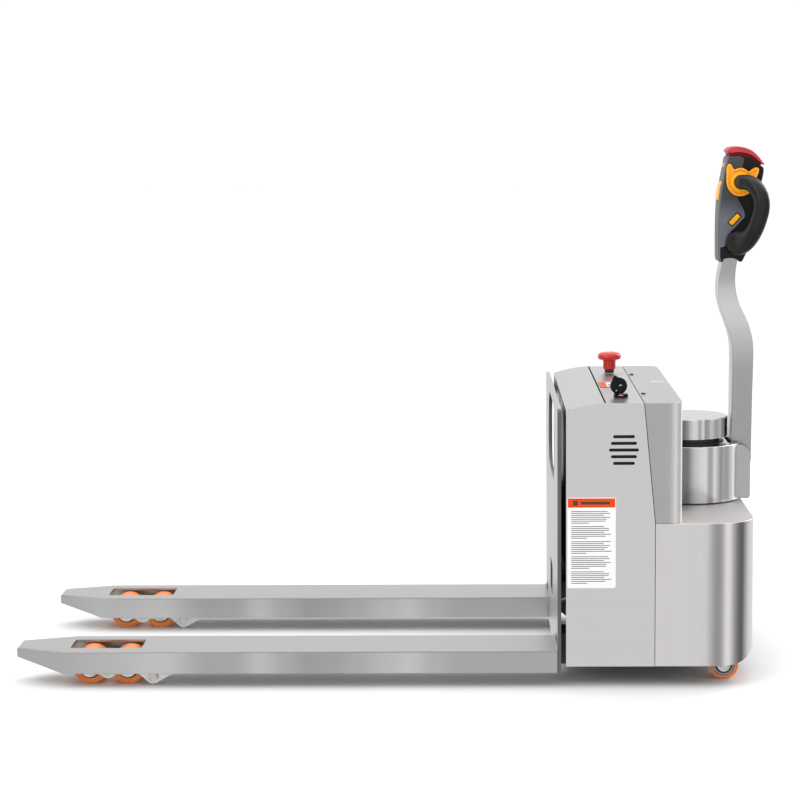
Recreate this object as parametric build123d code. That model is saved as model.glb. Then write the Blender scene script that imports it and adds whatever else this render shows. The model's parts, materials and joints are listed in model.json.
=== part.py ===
from build123d import *
import math
import os

os.makedirs("parts", exist_ok=True)

# ---------------------------------------------------------------------------
# Electric walkie pallet truck, stainless sheet-metal body.
# Millimetres. +X points from the fork tips to the operator's end, +Z up,
# Y = 0 is the centre plane. Z = 0 is the floor. "left" is the -Y side, the
# left hand of an operator who stands at the tiller and faces the forks.
# ---------------------------------------------------------------------------

# overall
HALF_W = 342.5            # half of the 685 mm overall width
TIP_X = -808.0            # fork tips
ROOT_X = 342.0            # front face of the backrest, 1150 mm from the tips

# forks
FORK_W = 150.0
FORK_TOP = 80.0
FORK_BOT = 32.0
FORK_Y = HALF_W - FORK_W / 2          # 267.5, fork centre line
TOP_T = 6.0
SKIRT_T = 5.0
TIP_LEN = 112.0
TIP_W = 71.0
TIP_UNDER = 60.0
WIN_X0, WIN_X1, WIN_W = -693.0, -541.0, 80.0

# load wheel gear
BOGIE_X, BOGIE_Z = -612.0, 37.0
ROLL_R, ROLL_W, ROLL_PITCH = 37.0, 68.0, 81.0
AXLE_R = 10.0
ARM_PX, ARM_PZ = -447.0, 58.0         # load arm pivot on the fork
ARM_JX, ARM_JZ = -516.0, 20.0         # pull rod pin on the load arm
PIN_R = 8.0
RUN = 0.05                            # radial running clearance

# rocker shaft: its outer levers are parallel and equal to the line P-J
ROCK_X, ROCK_Z = 409.0, 86.0
KX = ROCK_X + (ARM_JX - ARM_PX)       # pull rod pin on the rocker
KZ = ROCK_Z + (ARM_JZ - ARM_PZ)
SHAFT_R = 20.0
T_R, T_DEG = 40.44, 156.2             # inner lever that carries the tie link
TX = ROCK_X + T_R * math.cos(math.radians(T_DEG))
TZ = ROCK_Z + T_R * math.sin(math.radians(T_DEG))
AX, AZ = 510.0, 143.5                 # tie link pivot on the chassis

# backrest and body
BACK_X0, BACK_X1, BACK_TOP = 342.0, 350.0, 593.0
BODY_X0 = 360.0
HOOD_X1 = 603.0
SEAM1 = 440.0
SEAM2 = 522.0
SLANT_X = 546.0
TOP_Z = 604.0
DECK_Z = 350.0
SKIRT_X1 = 760.0
SKIRT_Z0 = 46.0
SHEET = 2.5
CORNER_R = 90.0
HOOD_R = 26.0

# drive unit and tiller
STEER_X = 644.0
WHEEL_R, WHEEL_W = 105.0, 70.0
DRUM_R = 118.0
DRUM_Z0, DRUM_Z1 = 353.0, 477.0
CAP_R = 88.0
CAP_Z0, CAP_Z1 = 489.0, 533.0
PIV_X, PIV_Z = 758.0, 439.0
ARM_HALF = 32.5

# castors
CAST_X, CAST_Y = 665.0, 248.0
CASTOR_TRAIL = 33.0
CASTOR_R, CASTOR_W = 32.0, 48.0

LIFT = 115.0


# ---------------------------------------------------------------- helpers
def box(x0, x1, y0, y1, z0, z1):
    return Pos((x0 + x1) / 2, (y0 + y1) / 2, (z0 + z1) / 2) * Box(x1 - x0, y1 - y0, z1 - z0)


def cy(x, z, r, y0, y1):
    return Pos(x, (y0 + y1) / 2, z) * Rot(90, 0, 0) * Cylinder(r, y1 - y0)


def cz(x, y, r, z0, z1):
    return Pos(x, y, (z0 + z1) / 2) * Cylinder(r, z1 - z0)


def cx(y, z, r, x0, x1):
    return Pos((x0 + x1) / 2, y, z) * Rot(0, 90, 0) * Cylinder(r, x1 - x0)


def prism_xz(pts, y0, y1):
    w = Wire.make_polygon([Vector(x, y0, z) for x, z in pts], close=True)
    return Solid.extrude(Face(w), Vector(0, y1 - y0, 0))


def prism_xy(pts, z0, z1):
    w = Wire.make_polygon([Vector(x, y, z0) for x, y in pts], close=True)
    return Solid.extrude(Face(w), Vector(0, 0, z1 - z0))


def tangent_quad(p1, r1, p2, r2):
    dx, dz = p2[0] - p1[0], p2[1] - p1[1]
    d = math.hypot(dx, dz)
    a = math.atan2(dz, dx)
    b = math.acos((r1 - r2) / d)
    q = []
    for s, (p, r) in ((1, (p1, r1)), (1, (p2, r2)), (-1, (p2, r2)), (-1, (p1, r1))):
        q.append((p[0] + r * math.cos(a + s * b), p[1] + r * math.sin(a + s * b)))
    return q


def link(p1, r1, p2, r2, y0, y1):
    """Flat bar with round ends in the XZ plane."""
    return (cy(p1[0], p1[1], r1, y0, y1) + cy(p2[0], p2[1], r2, y0, y1)
            + prism_xz(tangent_quad(p1, r1, p2, r2), y0, y1))


def both(fn):
    return {"left": fn(-1), "right": fn(1)}


def write(name, shape):
    solids = list(shape.solids())
    out = solids[0] if len(solids) == 1 else Compound(children=solids)
    export_step(out, f"parts/{name}.step")


# ---------------------------------------------------------------- forks
def make_fork(s):
    yc = s * FORK_Y
    h = FORK_W / 2
    t = TIP_W / 2
    plan = [(TIP_X, yc - t), (TIP_X + TIP_LEN, yc - h), (ROOT_X, yc - h),
            (ROOT_X, yc + h), (TIP_X + TIP_LEN, yc + h), (TIP_X, yc + t)]
    body = prism_xy(plan, FORK_BOT, FORK_TOP)
    top = body.faces().sort_by(Axis.Z)[-1]
    rim = [e for e in top.edges() if e.center().X < ROOT_X - 1]
    body = body.fillet(4.0, rim)
    body = body - prism_xz([(TIP_X - 2, FORK_BOT - 2), (TIP_X + 102, FORK_BOT - 2),
                            (TIP_X + 102, FORK_BOT), (TIP_X, TIP_UNDER), (TIP_X - 2, TIP_UNDER)],
                           yc - h - 1, yc + h + 1)
    hi = h - SKIRT_T
    inner = [(TIP_X + 22, yc - 38), (TIP_X + TIP_LEN + 1, yc - hi), (ROOT_X + 1, yc - hi),
             (ROOT_X + 1, yc + hi), (TIP_X + TIP_LEN + 1, yc + hi), (TIP_X + 22, yc + 38)]
    body = body - prism_xy(inner, FORK_BOT - 3, FORK_TOP - TOP_T)
    win = box(WIN_X0, WIN_X1, yc - WIN_W / 2, yc + WIN_W / 2, FORK_TOP - TOP_T - 2, FORK_TOP + 2)
    win = win.fillet(8.0, win.edges().filter_by(Axis.Z))
    return body - win


for side, s in (("left", -1), ("right", 1)):
    write(f"fork_{side}", make_fork(s))

# backrest plate between the fork roots, with a rounded window, a low opening
# and two notches for the rocker levers
back = box(BACK_X0, BACK_X1, -HALF_W, HALF_W, FORK_BOT, BACK_TOP)
back = back.fillet(12.0, [e for e in back.edges().filter_by(Axis.X) if e.center().Z > BACK_TOP - 1])
window = box(BACK_X0 - 5, BACK_X1 + 5, -165, 165, 405, 573)
window = window.fillet(60.0, window.edges().filter_by(Axis.X))
low = box(BACK_X0 - 5, BACK_X1 + 5, -60, 60, 130, 205)
low = low.fillet(12.0, low.edges().filter_by(Axis.X))
back = back - window - low
for s in (-1, 1):
    back -= box(BACK_X0 - 5, BACK_X1 + 5, s * FORK_Y - 28, s * FORK_Y + 28, FORK_BOT - 5, 100)
write("backrest", back)

# heel plates: four bearing plates behind the backrest that carry the rocker
heels = []
for s in (-1, 1):
    for y0 in (FORK_Y - 45, FORK_Y + 35):
        a, b = sorted((s * y0, s * (y0 + 10)))
        p = link((ROCK_X, ROCK_Z), 24, (ROCK_X - 4, ROCK_Z), 24, a, b)
        p += box(BACK_X1, ROCK_X, a, b, 45, 110)
        p -= cy(ROCK_X, ROCK_Z, SHAFT_R + RUN, a - 1, b + 1)
        heels.append(p)
write("heel_plates", Compound(children=heels))

# lift bracket: the arm of the fork frame that the cylinder rod pushes up
CYL_X = 402.0
brk = box(BACK_X1, 440, -48, 48, 440, 460)
brk = brk.fillet(10.0, [e for e in brk.edges().filter_by(Axis.Z) if e.center().X > 430])
for y0 in (-48, 38):
    brk += prism_xz([(BACK_X1, 400), (BACK_X1 + 12, 400), (430, 440), (BACK_X1, 440)], y0, y0 + 10)
brk += cz(CYL_X, 0, 20, 436, 440)
write("lift_bracket", brk)

rod = cz(CYL_X, 0, 15, 262, 436)
write("lift_cylinder_rod", rod)

# pins that hold the load arms in the fork channels
pins = [cy(ARM_PX, ARM_PZ, PIN_R, s * FORK_Y - 70, s * FORK_Y + 70) for s in (-1, 1)]
write("load_arm_pivot_pins", Compound(children=pins))


# ---------------------------------------------------------------- load wheel gear
def make_load_arm(s):
    yc = s * FORK_Y
    b, p, j = (BOGIE_X, BOGIE_Z), (ARM_PX, ARM_PZ), (ARM_JX, ARM_JZ)
    arm = None
    for y0 in (yc - 51, yc + 43):
        y1 = y0 + 8
        pl = cy(*b, 20, y0, y1) + link(b, 12, p, 15, y0, y1) + link(j, 15, p, 15, y0, y1)
        pl += prism_xz([(-556, 34), (j[0] - 11.5, j[1] - 9.6), j, p, (-556, 44)], y0, y1)
        pl -= cy(*b, PIN_R, y0 - 1, y1 + 1)
        pl -= cy(*p, PIN_R + RUN, y0 - 1, y1 + 1)
        pl -= cy(*j, PIN_R, y0 - 1, y1 + 1)
        arm = pl if arm is None else arm + pl
    return arm + cy(-490, 62, 8, yc - 43.5, yc + 43.5)


def make_arm_pins(s):
    yc = s * FORK_Y
    b, j = (BOGIE_X, BOGIE_Z), (ARM_JX, ARM_JZ)
    out = []
    for t in (-1, 1):
        a, e = sorted((yc + t * 36.5, yc + t * 51))
        h0, h1 = sorted((yc + t * 51, yc + t * 57))
        out.append(cy(*b, PIN_R, a, e) + cy(*b, 14, h0, h1))
    out.append(cy(*j, PIN_R, yc - 51, yc + 51) + cy(*j, 11, yc - 56, yc - 51) + cy(*j, 11, yc + 51, yc + 56))
    return Compound(children=out)


def make_bogie(s):
    yc = s * FORK_Y
    out = []
    for y0 in (yc - 42, yc + 36):
        y1 = y0 + 6
        pl = box(BOGIE_X - ROLL_PITCH / 2, BOGIE_X + ROLL_PITCH / 2, y0, y1, BOGIE_Z - 14, BOGIE_Z + 14)
        for dx in (-ROLL_PITCH / 2, 0, ROLL_PITCH / 2):
            pl += cy(BOGIE_X + dx, BOGIE_Z, 20, y0, y1)
        for dx in (-ROLL_PITCH / 2, ROLL_PITCH / 2):
            pl -= cy(BOGIE_X + dx, BOGIE_Z, AXLE_R, y0 - 1, y1 + 1)
        pl -= cy(BOGIE_X, BOGIE_Z, PIN_R + RUN, y0 - 1, y1 + 1)
        out.append(pl)
    return Compound(children=out)


def make_axles(s):
    yc = s * FORK_Y
    return Compound(children=[cy(BOGIE_X + dx, BOGIE_Z, AXLE_R, yc - 42.4, yc + 42.4)
                              for dx in (-ROLL_PITCH / 2, ROLL_PITCH / 2)])


def make_roller(s, dx):
    yc = s * FORK_Y
    r = cy(BOGIE_X + dx, BOGIE_Z, ROLL_R, yc - ROLL_W / 2, yc + ROLL_W / 2)
    r = r.fillet(5.0, r.edges().filter_by(GeomType.CIRCLE))
    return r - cy(BOGIE_X + dx, BOGIE_Z, AXLE_R + RUN, yc - 40, yc + 40)


def make_pull_rod(s):
    yc = s * FORK_Y
    y0, y1 = yc - 12, yc + 12
    zc, hh = 40.0, 6.5
    j, k = (ARM_JX, ARM_JZ), (KX, KZ)
    r = cy(*j, 13, y0, y1) + cy(*k, 13, y0, y1)
    r += prism_xz([(-478, zc + hh), (j[0] + 4, j[1] + 12.4), (j[0] + 8, j[1] - 10.3), (-466, zc - hh)], y0, y1)
    r += prism_xz([(-478, zc + hh), (-466, zc - hh), (300, zc - hh), (300, zc + hh)], y0, y1)
    r += prism_xz([(300, zc + hh), (300, zc - hh), (k[0], k[1] - 11), (k[0], k[1] + 11)], y0, y1)
    r -= cy(*j, PIN_R + RUN, y0 - 1, y1 + 1)
    r -= cy(*k, PIN_R + RUN, y0 - 1, y1 + 1)
    return r


for side, s in (("left", -1), ("right", 1)):
    write(f"load_arm_{side}", make_load_arm(s))
    write(f"load_arm_pins_{side}", make_arm_pins(s))
    write(f"bogie_plates_{side}", make_bogie(s))
    write(f"roller_axles_{side}", make_axles(s))
    write(f"load_roller_front_{side}", make_roller(s, -ROLL_PITCH / 2))
    write(f"load_roller_rear_{side}", make_roller(s, ROLL_PITCH / 2))
    write(f"pull_rod_{side}", make_pull_rod(s))

# rocker shaft: two torsion tubes, outer levers to the pull rods, a centre
# crank for the tie link
q, k, t = (ROCK_X, ROCK_Z), (KX, KZ), (TX, TZ)
rock = None
for s in (-1, 1):
    a, b = sorted((s * 318, s * 14))
    tube = cy(*q, SHAFT_R, a, b)
    rock = tube if rock is None else rock + tube
    for y0 in (s * FORK_Y - 23, s * FORK_Y + 13):
        rock += link(q, 23, k, 12, y0, y0 + 10)
    rock += cy(*k, PIN_R, s * FORK_Y - 14, s * FORK_Y + 14)
    a, b = sorted((s * 14, s * 24))
    rock += link(q, 24, t, 14, a, b)
rock += cy(*t, PIN_R, -15, 15)
write("rocker_shaft", rock)

# tie link: chassis pivot A to the centre crank. The eye at the crank has
# 1.8 mm of radial play, because this loop is closed by clearance.
TIE_L, TIE_DEG = 142.725, 196.615
eye = (AX + TIE_L * math.cos(math.radians(TIE_DEG)), AZ + TIE_L * math.sin(math.radians(TIE_DEG)))
tie = link((AX, AZ), 15, eye, 15, -10, 10)
tie -= cy(AX, AZ, PIN_R + RUN, -11, 11)
tie -= cy(*eye, PIN_R + 1.8, -11, 11)
write("tie_link", tie)

# ---------------------------------------------------------------- chassis
ch = box(452, 460, -HALF_W + SHEET, HALF_W - SHEET, 60, 340)
ch -= box(450, 462, -24, 24, 96, 196)
for s in (-1, 1):
    a, b = sorted((s * 332, s * (HALF_W - SHEET)))
    ch += box(452, 668, a, b, 60, 346)
    a, b = sorted((s * 20, s * 28))
    ch += link((AX, AZ), 15, (474, AZ), 15, a, b) + box(456, 480, a, b, AZ - 15, AZ + 15)
    a, b = sorted((s * 170, s * 332.5))
    plate = box(600, 696, a, b, 112, 120) - cz(CAST_X, s * CAST_Y, 12 + RUN, 110, 122)
    ch += plate
    a, b = sorted((s * 176, s * 184))
    ch += box(600, 696, a, b, 112, 302)
ch += cy(AX, AZ, PIN_R, -28, 28)
ch += box(456, 730, -333, 333, 300, 310) - cz(STEER_X, 0, 104, 299, 311)
ch -= box(669, 735, 300, 345, 299, 311) + box(669, 735, -345, -300, 299, 311)
tray = box(BODY_X0, 545, -HALF_W + SHEET, HALF_W - SHEET, 340, 346)
tray -= box(BODY_X0 - 1, 446, -60, 60, 339, 347)
ch += tray
wall = box(BODY_X0, BODY_X0 + 4, -HALF_W + SHEET, HALF_W - SHEET, 240, 574)
wall -= box(BODY_X0 - 1, BODY_X0 + 5, -56, 56, 385, 580)
ch += wall
ch += box(BODY_X0, 456, -56, 56, 240, 248)
ch += box(446, 452, -56, 56, 240, 346)
write("chassis_frame", ch)


def hood_profile(dz=0.0):
    pts = [(360, 589), (369, 591.5), (380, 594.6), (394, 598.0), (409, 600.8), (424, 602.9), (440, 604)]
    return [(x, z - dz) for x, z in pts]


GAP = 0.6


def make_side_cover(s):
    a, b = sorted((s * (HALF_W - SHEET), s * HALF_W))
    pts = hood_profile() + [(SEAM2 - GAP, TOP_Z), (SLANT_X - GAP, DECK_Z), (SLANT_X - GAP, SKIRT_Z0), (BODY_X0, SKIRT_Z0)]
    p = prism_xz(pts, a, b)
    for z, ln in ((534, 45), (520, 54), (506, 62), (492, 54), (478, 45)):
        v = box(480 - ln / 2 + 3.25, 480 + ln / 2 - 3.25, a - 1, b + 1, z - 3.25, z + 3.25)
        v += cy(480 - ln / 2 + 3.25, z, 3.25, a - 1, b + 1) + cy(480 + ln / 2 - 3.25, z, 3.25, a - 1, b + 1)
        p -= v
    return p


for side, s in (("left", -1), ("right", 1)):
    write(f"side_cover_{side}", make_side_cover(s))

lid = prism_xz([(360, 575)] + hood_profile() + [(440, 601)]
               + [(x, z - 3) for x, z in hood_profile()[::-1][1:-1]] + [(363, 586.6), (363, 575)],
               -HALF_W + SHEET, HALF_W - SHEET)
lid -= cz(366, -334, 3.0, 580, 600)
write("front_lid", lid)

ESTOP_X, ESTOP_Y = 482.6, 200.3
KEY_X, KEY_Y = 480.0, -239.5
panel = box(SEAM1 + 3.5, SEAM2 - 0.8, -HALF_W + SHEET, HALF_W - SHEET, 601, TOP_Z)
panel -= cz(ESTOP_X, ESTOP_Y, 11, 600, 605)
panel -= cz(KEY_X, KEY_Y, 11, 600, 605)
panel -= box(446, 484, -72, 16, 600, 605)
write("control_panel", panel)
write("battery_indicator", box(446, 484, -72, 16, 590, 605))

# rear hood: one bent sheet with a slanted front edge and an arch for the tiller base
def hood_block(inset, z1):
    b = box(500, HOOD_X1 - inset, -HALF_W + inset, HALF_W - inset, DECK_Z, z1)
    rr = HOOD_R - inset
    return b.fillet(rr, [e for e in b.edges().filter_by(Axis.Z) if e.center().X > 560])


hood = hood_block(0, TOP_Z)
slant = prism_xz([(490, TOP_Z + 1), (SEAM2 + GAP, TOP_Z + 1), (SEAM2 + GAP, TOP_Z), (SLANT_X + GAP, DECK_Z),
                  (SLANT_X + GAP, DECK_Z - 1), (490, DECK_Z - 1)], -HALF_W - 1, HALF_W + 1)
hood -= slant
cav = hood_block(SHEET, TOP_Z - 3)
cav = Pos(0, 0, -1) * cav + cav
hood -= cav
arch = box(HOOD_X1 - 8, HOOD_X1 + 4, -150, 150, DECK_Z - 2, 552)
arch = arch.fillet(60.0, [e for e in arch.edges().filter_by(Axis.X) if e.center().Z > 500])
hood -= arch
write("rear_hood", hood)


# rear skirt: shell with a flat deck and large rear corners
def skirt_block(inset, z1):
    b = box(400, SKIRT_X1 - inset, -HALF_W + inset, HALF_W - inset, SKIRT_Z0, z1)
    b = b.fillet(CORNER_R - inset, [e for e in b.edges().filter_by(Axis.Z) if e.center().X > 500])
    return b


sk = skirt_block(0, DECK_Z)
sk = sk.fillet(2.0, [e for e in sk.faces().sort_by(Axis.Z)[-1].edges() if e.center().X > 405 or abs(e.center().Y) > 300])
sk -= Pos(0, 0, -1) * skirt_block(SHEET, DECK_Z - 4) + skirt_block(SHEET, DECK_Z - 4)
sk -= box(399, SLANT_X + GAP, -400, 400, 0, 400)
sk -= cz(STEER_X, 0, 84, DECK_Z - 6, DECK_Z + 2)
curve = [(702, SKIRT_Z0 - 2), (702, SKIRT_Z0), (718, 47.5), (732, 51.5), (744, 58), (753, 66), (761, 74.5), (765, 74.5), (765, SKIRT_Z0 - 2)]
sk -= prism_xz(curve, -400, 400)
write("rear_skirt", sk)

# contents of the body
bats = []
for s in (-1, 1):
    a, b = sorted((s * 160, s * 330))
    bat = box(372, 540, a, b, 346, 546)
    bat = bat.fillet(6.0, bat.edges().filter_by(Axis.Z))
    for dx in (40, 128):
        bat += cz(372 + dx, (a + b) / 2, 9, 546, 562)
    bats.append(bat)
write("batteries", Compound(children=bats))
ctl = box(452, 512, -95, 95, 346, 372)
for i in range(9):
    ctl += box(456 + i * 6, 458.5 + i * 6, -90, 90, 372, 392)
write("motor_controller", ctl)
hpu = box(470, 590, 190, 320, 130, 250)
hpu = hpu.fillet(8.0, hpu.edges().filter_by(Axis.Z)) + cz(530, 255, 45, 250, 299)
write("hydraulic_power_unit", hpu)
barrel = cz(CYL_X, 0, 30, 248, 410) - cz(CYL_X, 0, 15 + RUN, 256, 412)
barrel += cz(CYL_X, 0, 33, 398, 412) - cz(CYL_X, 0, 15 + RUN, 395, 413)
write("lift_cylinder_barrel", barrel)
write("steering_bearing_ring", cz(STEER_X, 0, 111, 310, 330) - cz(STEER_X, 0, 98 + RUN, 309, 331))

# controls on the panel
es = cz(ESTOP_X, ESTOP_Y, 11, 566, 613) + cz(ESTOP_X, ESTOP_Y, 15, 566, 601)
es -= cz(ESTOP_X, ESTOP_Y, 5.3, 575, 614)
write("estop_base", es)
kn = cz(ESTOP_X, ESTOP_Y, 14.5, 614, 638) - cz(ESTOP_X, ESTOP_Y, 11.4, 613, 628)
head = cz(ESTOP_X, ESTOP_Y, 27, 636, 654)
head = head.fillet(7.0, [e for e in head.edges().filter_by(GeomType.CIRCLE) if e.center().Z > 650])
kn += head + cz(ESTOP_X, ESTOP_Y, 5, 585, 640)
write("estop_knob", kn)
ks = cz(KEY_X, KEY_Y, 11, 570, 606) + cz(KEY_X, KEY_Y, 15, 604, 612)
ks -= box(KEY_X - 4.6, KEY_X + 4.6, KEY_Y - 1.5, KEY_Y + 1.5, 590, 613) + cz(KEY_X, KEY_Y, 4.8, 590, 613)
write("key_switch", ks)
bow = cy(KEY_X - 2, 632, 18, KEY_Y - 3, KEY_Y + 3)
bow = bow.fillet(1.5, bow.edges().filter_by(GeomType.CIRCLE))
key = bow + box(KEY_X - 4, KEY_X + 4, KEY_Y - 1, KEY_Y + 1, 596, 620)
key += prism_xz([(KEY_X - 16, 640), (KEY_X - 14, 653), (KEY_X - 8, 654), (KEY_X - 2, 645)], KEY_Y - 2.4, KEY_Y + 2.4)
write("key", key)

# ---------------------------------------------------------------- castors
for side, s in (("left", -1), ("right", 1)):
    yc = s * CAST_Y
    f = cz(CAST_X, yc, 12, 104, 121) + cz(CAST_X, yc, 30, 98, 109)
    wx = CAST_X + CASTOR_TRAIL
    for y0 in (yc - 32, yc + 27):
        f += link((wx, CASTOR_R), 13, (CAST_X + 4, 86), 18, y0, y0 + 5)
        f += box(CAST_X - 18, CAST_X + 26, y0, y0 + 5, 90, 104)
    f += box(CAST_X - 18, CAST_X + 26, yc - 32, yc + 32, 98, 104)
    f += cy(wx, CASTOR_R, 6, yc - 34, yc + 34)
    write(f"castor_fork_{side}", f)
    w = cy(wx, CASTOR_R, CASTOR_R, yc - CASTOR_W / 2, yc + CASTOR_W / 2)
    w = w.fillet(5.0, w.edges().filter_by(GeomType.CIRCLE))
    w -= cy(wx, CASTOR_R, 6 + RUN, yc - 30, yc + 30)
    write(f"castor_wheel_{side}", w)

# ---------------------------------------------------------------- drive unit
dh = cz(STEER_X, 0, 98, 262, 334)
dh += box(STEER_X - 42, STEER_X + 42, 41, 80, WHEEL_R, 264)
dh += cy(STEER_X, WHEEL_R, 58, 41, 80)
dh += cy(STEER_X, WHEEL_R, 14, -30, 42)
dh += box(STEER_X - 42, STEER_X + 42, 0, 80, 222, 264)
write("drive_housing", dh)
tyre = cy(STEER_X, WHEEL_R, WHEEL_R, -35, 35)
tyre = tyre.fillet(6.0, tyre.edges().filter_by(GeomType.CIRCLE)) - cy(STEER_X, WHEEL_R, 82, -36, 36)
write("drive_wheel_tyre", tyre)
hub = cy(STEER_X, WHEEL_R, 82, -33, 33) - cy(STEER_X, WHEEL_R, 14 + RUN, -34, 34) - cy(STEER_X, WHEEL_R, 66, -34, -8)
hub += cy(STEER_X, WHEEL_R, 30, -26, -8) - cy(STEER_X, WHEEL_R, 14 + RUN, -34, 34)
write("drive_wheel_hub", hub)
mot = cz(STEER_X, 0, 80, 334, 478) + cz(STEER_X, 0, 70, 478, 500) + cz(STEER_X, 0, 58, 500, 529)
write("drive_motor", mot)

drum = cz(STEER_X, 0, DRUM_R, DRUM_Z0, DRUM_Z1)
drum = drum.fillet(3.0, [e for e in drum.edges().filter_by(GeomType.CIRCLE) if e.center().Z > DRUM_Z1 - 1])
drum -= cz(STEER_X, 0, DRUM_R - 4, DRUM_Z0 + 4, DRUM_Z1 - 4)
drum -= cz(STEER_X, 0, 80, DRUM_Z0 - 1, DRUM_Z1 + 1)
for y0 in (-50, 45):
    br = box(STEER_X + 90, 777.5, y0, y0 + 5, DRUM_Z0, 473)
    br = br.fillet(26.0, [e for e in br.edges().filter_by(Axis.Y) if e.center().X > 770 and e.center().Z > 460])
    br = br.fillet(8.0, [e for e in br.edges().filter_by(Axis.Y) if e.center().X > 770 and e.center().Z < 360])
    drum += br
drum -= box(STEER_X + 84, 790, -45, 45, DRUM_Z0 - 1, DRUM_Z1 + 1)
drum -= cy(PIV_X, PIV_Z, 9, -60, 60)
write("tiller_base", drum)
cap = cz(STEER_X, 0, CAP_R, CAP_Z0, CAP_Z1)
cap = cap.fillet(3.0, [e for e in cap.edges().filter_by(GeomType.CIRCLE) if e.center().Z > CAP_Z1 - 1])
cap -= cz(STEER_X, 0, CAP_R - 3, CAP_Z0 - 1, 529)
write("motor_cap", cap)
pin = cy(PIV_X, PIV_Z, 9, -50, 50)
write("tiller_pivot_pin", pin)

# ---------------------------------------------------------------- tiller
REAR = [(781.0, 455), (781.6, 527), (782.1, 565.5), (783.5, 625.5), (784, 673.6), (782.8, 697), (777.7, 721.6), (769.7, 745),
        (757.8, 769.6), (747.9, 796), (743.3, 822.3), (743.5, 852.5), (746.5, 876), (748, 893)]
FRONT = [(735.0, 455), (737.2, 527), (737.5, 614), (737.6, 674), (735.7, 697.4), (725.7, 733.7), (712.5, 770), (705.4, 810),
         (705.9, 829.4), (711.7, 864.4), (715.5, 880), (717.5, 893)]


def arm_solid(rear, front, half):
    def spl(pts):
        return Edge.make_spline([Vector(x, -half, z) for x, z in pts])
    e1 = spl(rear)
    e2 = Edge.make_line(Vector(rear[-1][0], -half, rear[-1][1]), Vector(front[-1][0], -half, front[-1][1]))
    e3 = spl(front[::-1])
    e4 = Edge.make_line(Vector(front[0][0], -half, front[0][1]), Vector(rear[0][0], -half, rear[0][1]))
    return Solid.extrude(Face(Wire([e1, e2, e3, e4])), Vector(0, half * 2, 0))


# the arm is a box weldment of 5 mm plate, closed at both ends
arm = arm_solid(REAR, FRONT, ARM_HALF)
arm -= arm_solid([(x - 5, z) for x, z in REAR[1:-1]], [(x + 5, z) for x, z in FRONT[1:-1]], ARM_HALF - 5)
low_end = cy(PIV_X, PIV_Z, 23, -ARM_HALF, ARM_HALF)
low_end += prism_xz([(735, 439), (781, 439), (781, 455), (735, 455)], -ARM_HALF, ARM_HALF)
arm = arm + low_end
arm -= cy(PIV_X, PIV_Z, 9 + RUN, -60, 60)
write("tiller_arm", arm)

HEAD = [(704.5, 886), (704.1, 933), (704.7, 975), (706.1, 1007.7), (710, 1036.6), (718, 1078), (722.9, 1104),
        (752, 1104), (768, 1097), (784, 1086), (796, 1072), (797.5, 1058), (795, 1035), (791, 1008), (786, 975),
        (778, 935), (767, 893), (758, 876), (709, 876)]
hd = prism_xz(HEAD, -39, 39)
hd = hd.fillet(5.0, [e for e in hd.edges() if abs(e.center().Y) > 38])
hd -= box(700, 752, -ARM_HALF - 0.1, ARM_HALF + 0.1, 870, 893.1)
BF_X, BF_Z = 751.5, 1048.0
# recess of the lift rocker and of the horn button in the front face
A1 = math.degrees(math.atan2(8.0, 41.4))
LB = Pos(711.0, 0, 1028.5) * Rot(0, A1, 0)
HB = Pos(720.6, 0, 1084.0) * Rot(0, 10.6, 0)
SB = Pos(739.5, -39, 967.0) * Rot(0, 43, 0)
hd -= LB * (Pos(4, 0, 0) * Box(24, 48.6, 41.6))
hd -= HB * (Pos(4, 0, 0) * Box(18, 16.6, 10.6))
hd -= SB * (Pos(0, 4, 0) * Box(10.6, 16, 27.6))
# pocket for the stem of the belly button
hd -= box(736.5, 757.5, -15.5, 15.5, 1084, 1106)
write("head_housing", hd)
lb = Box(12, 48, 41)
lb = lb.fillet(3.0, [e for e in lb.edges() if e.center().X < -5])
write("lift_button", LB * lb)
hb = Box(9, 16, 10)
hb = hb.fillet(2.0, [e for e in hb.edges() if e.center().X < -4])
write("horn_button", HB * hb)
sb = Pos(0, 1.0, 0) * Box(10, 8, 27)
sb = sb.fillet(1.5, [e for e in sb.edges() if e.center().Y < -2.5])
write("side_button_left", SB * sb)

bc = prism_xz([(721.8, 1114.3), (728.5, 1123.3), (748.6, 1125.2), (763.5, 1122.3), (778.5, 1115.5), (791.1, 1103.8), (804.0, 1087.5),
               (798, 1083.5), (785.5, 1097), (770, 1103.5), (752, 1107.5), (727, 1107.5)], -36, 36)
bc = bc.fillet(2.5, [e for e in bc.edges() if abs(e.center().Y) > 35 and e.center().Z > 1100])
bc += box(737, 757, -15, 15, 1090, 1110)
write("belly_button", bc)

NECK_R = 14.0
wings = []
for s in (-1, 1):
    a, b = sorted((s * 40, s * 47))
    d = cy(BF_X, BF_Z, 31, a, b)
    d += prism_xz([(724.0, 1058), (726.5, 1087), (730.5, 1087.5), (740, 1076)], a, b)
    d += prism_xz([(762, 1074), (784, 1079.5), (790.5, 1078.5), (790, 1072), (778, 1052)], a, b)
    wings.append(d - cy(BF_X, BF_Z, NECK_R + 0.08, a - 1, b + 1))
write("throttle_butterfly", Compound(children=wings))

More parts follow.
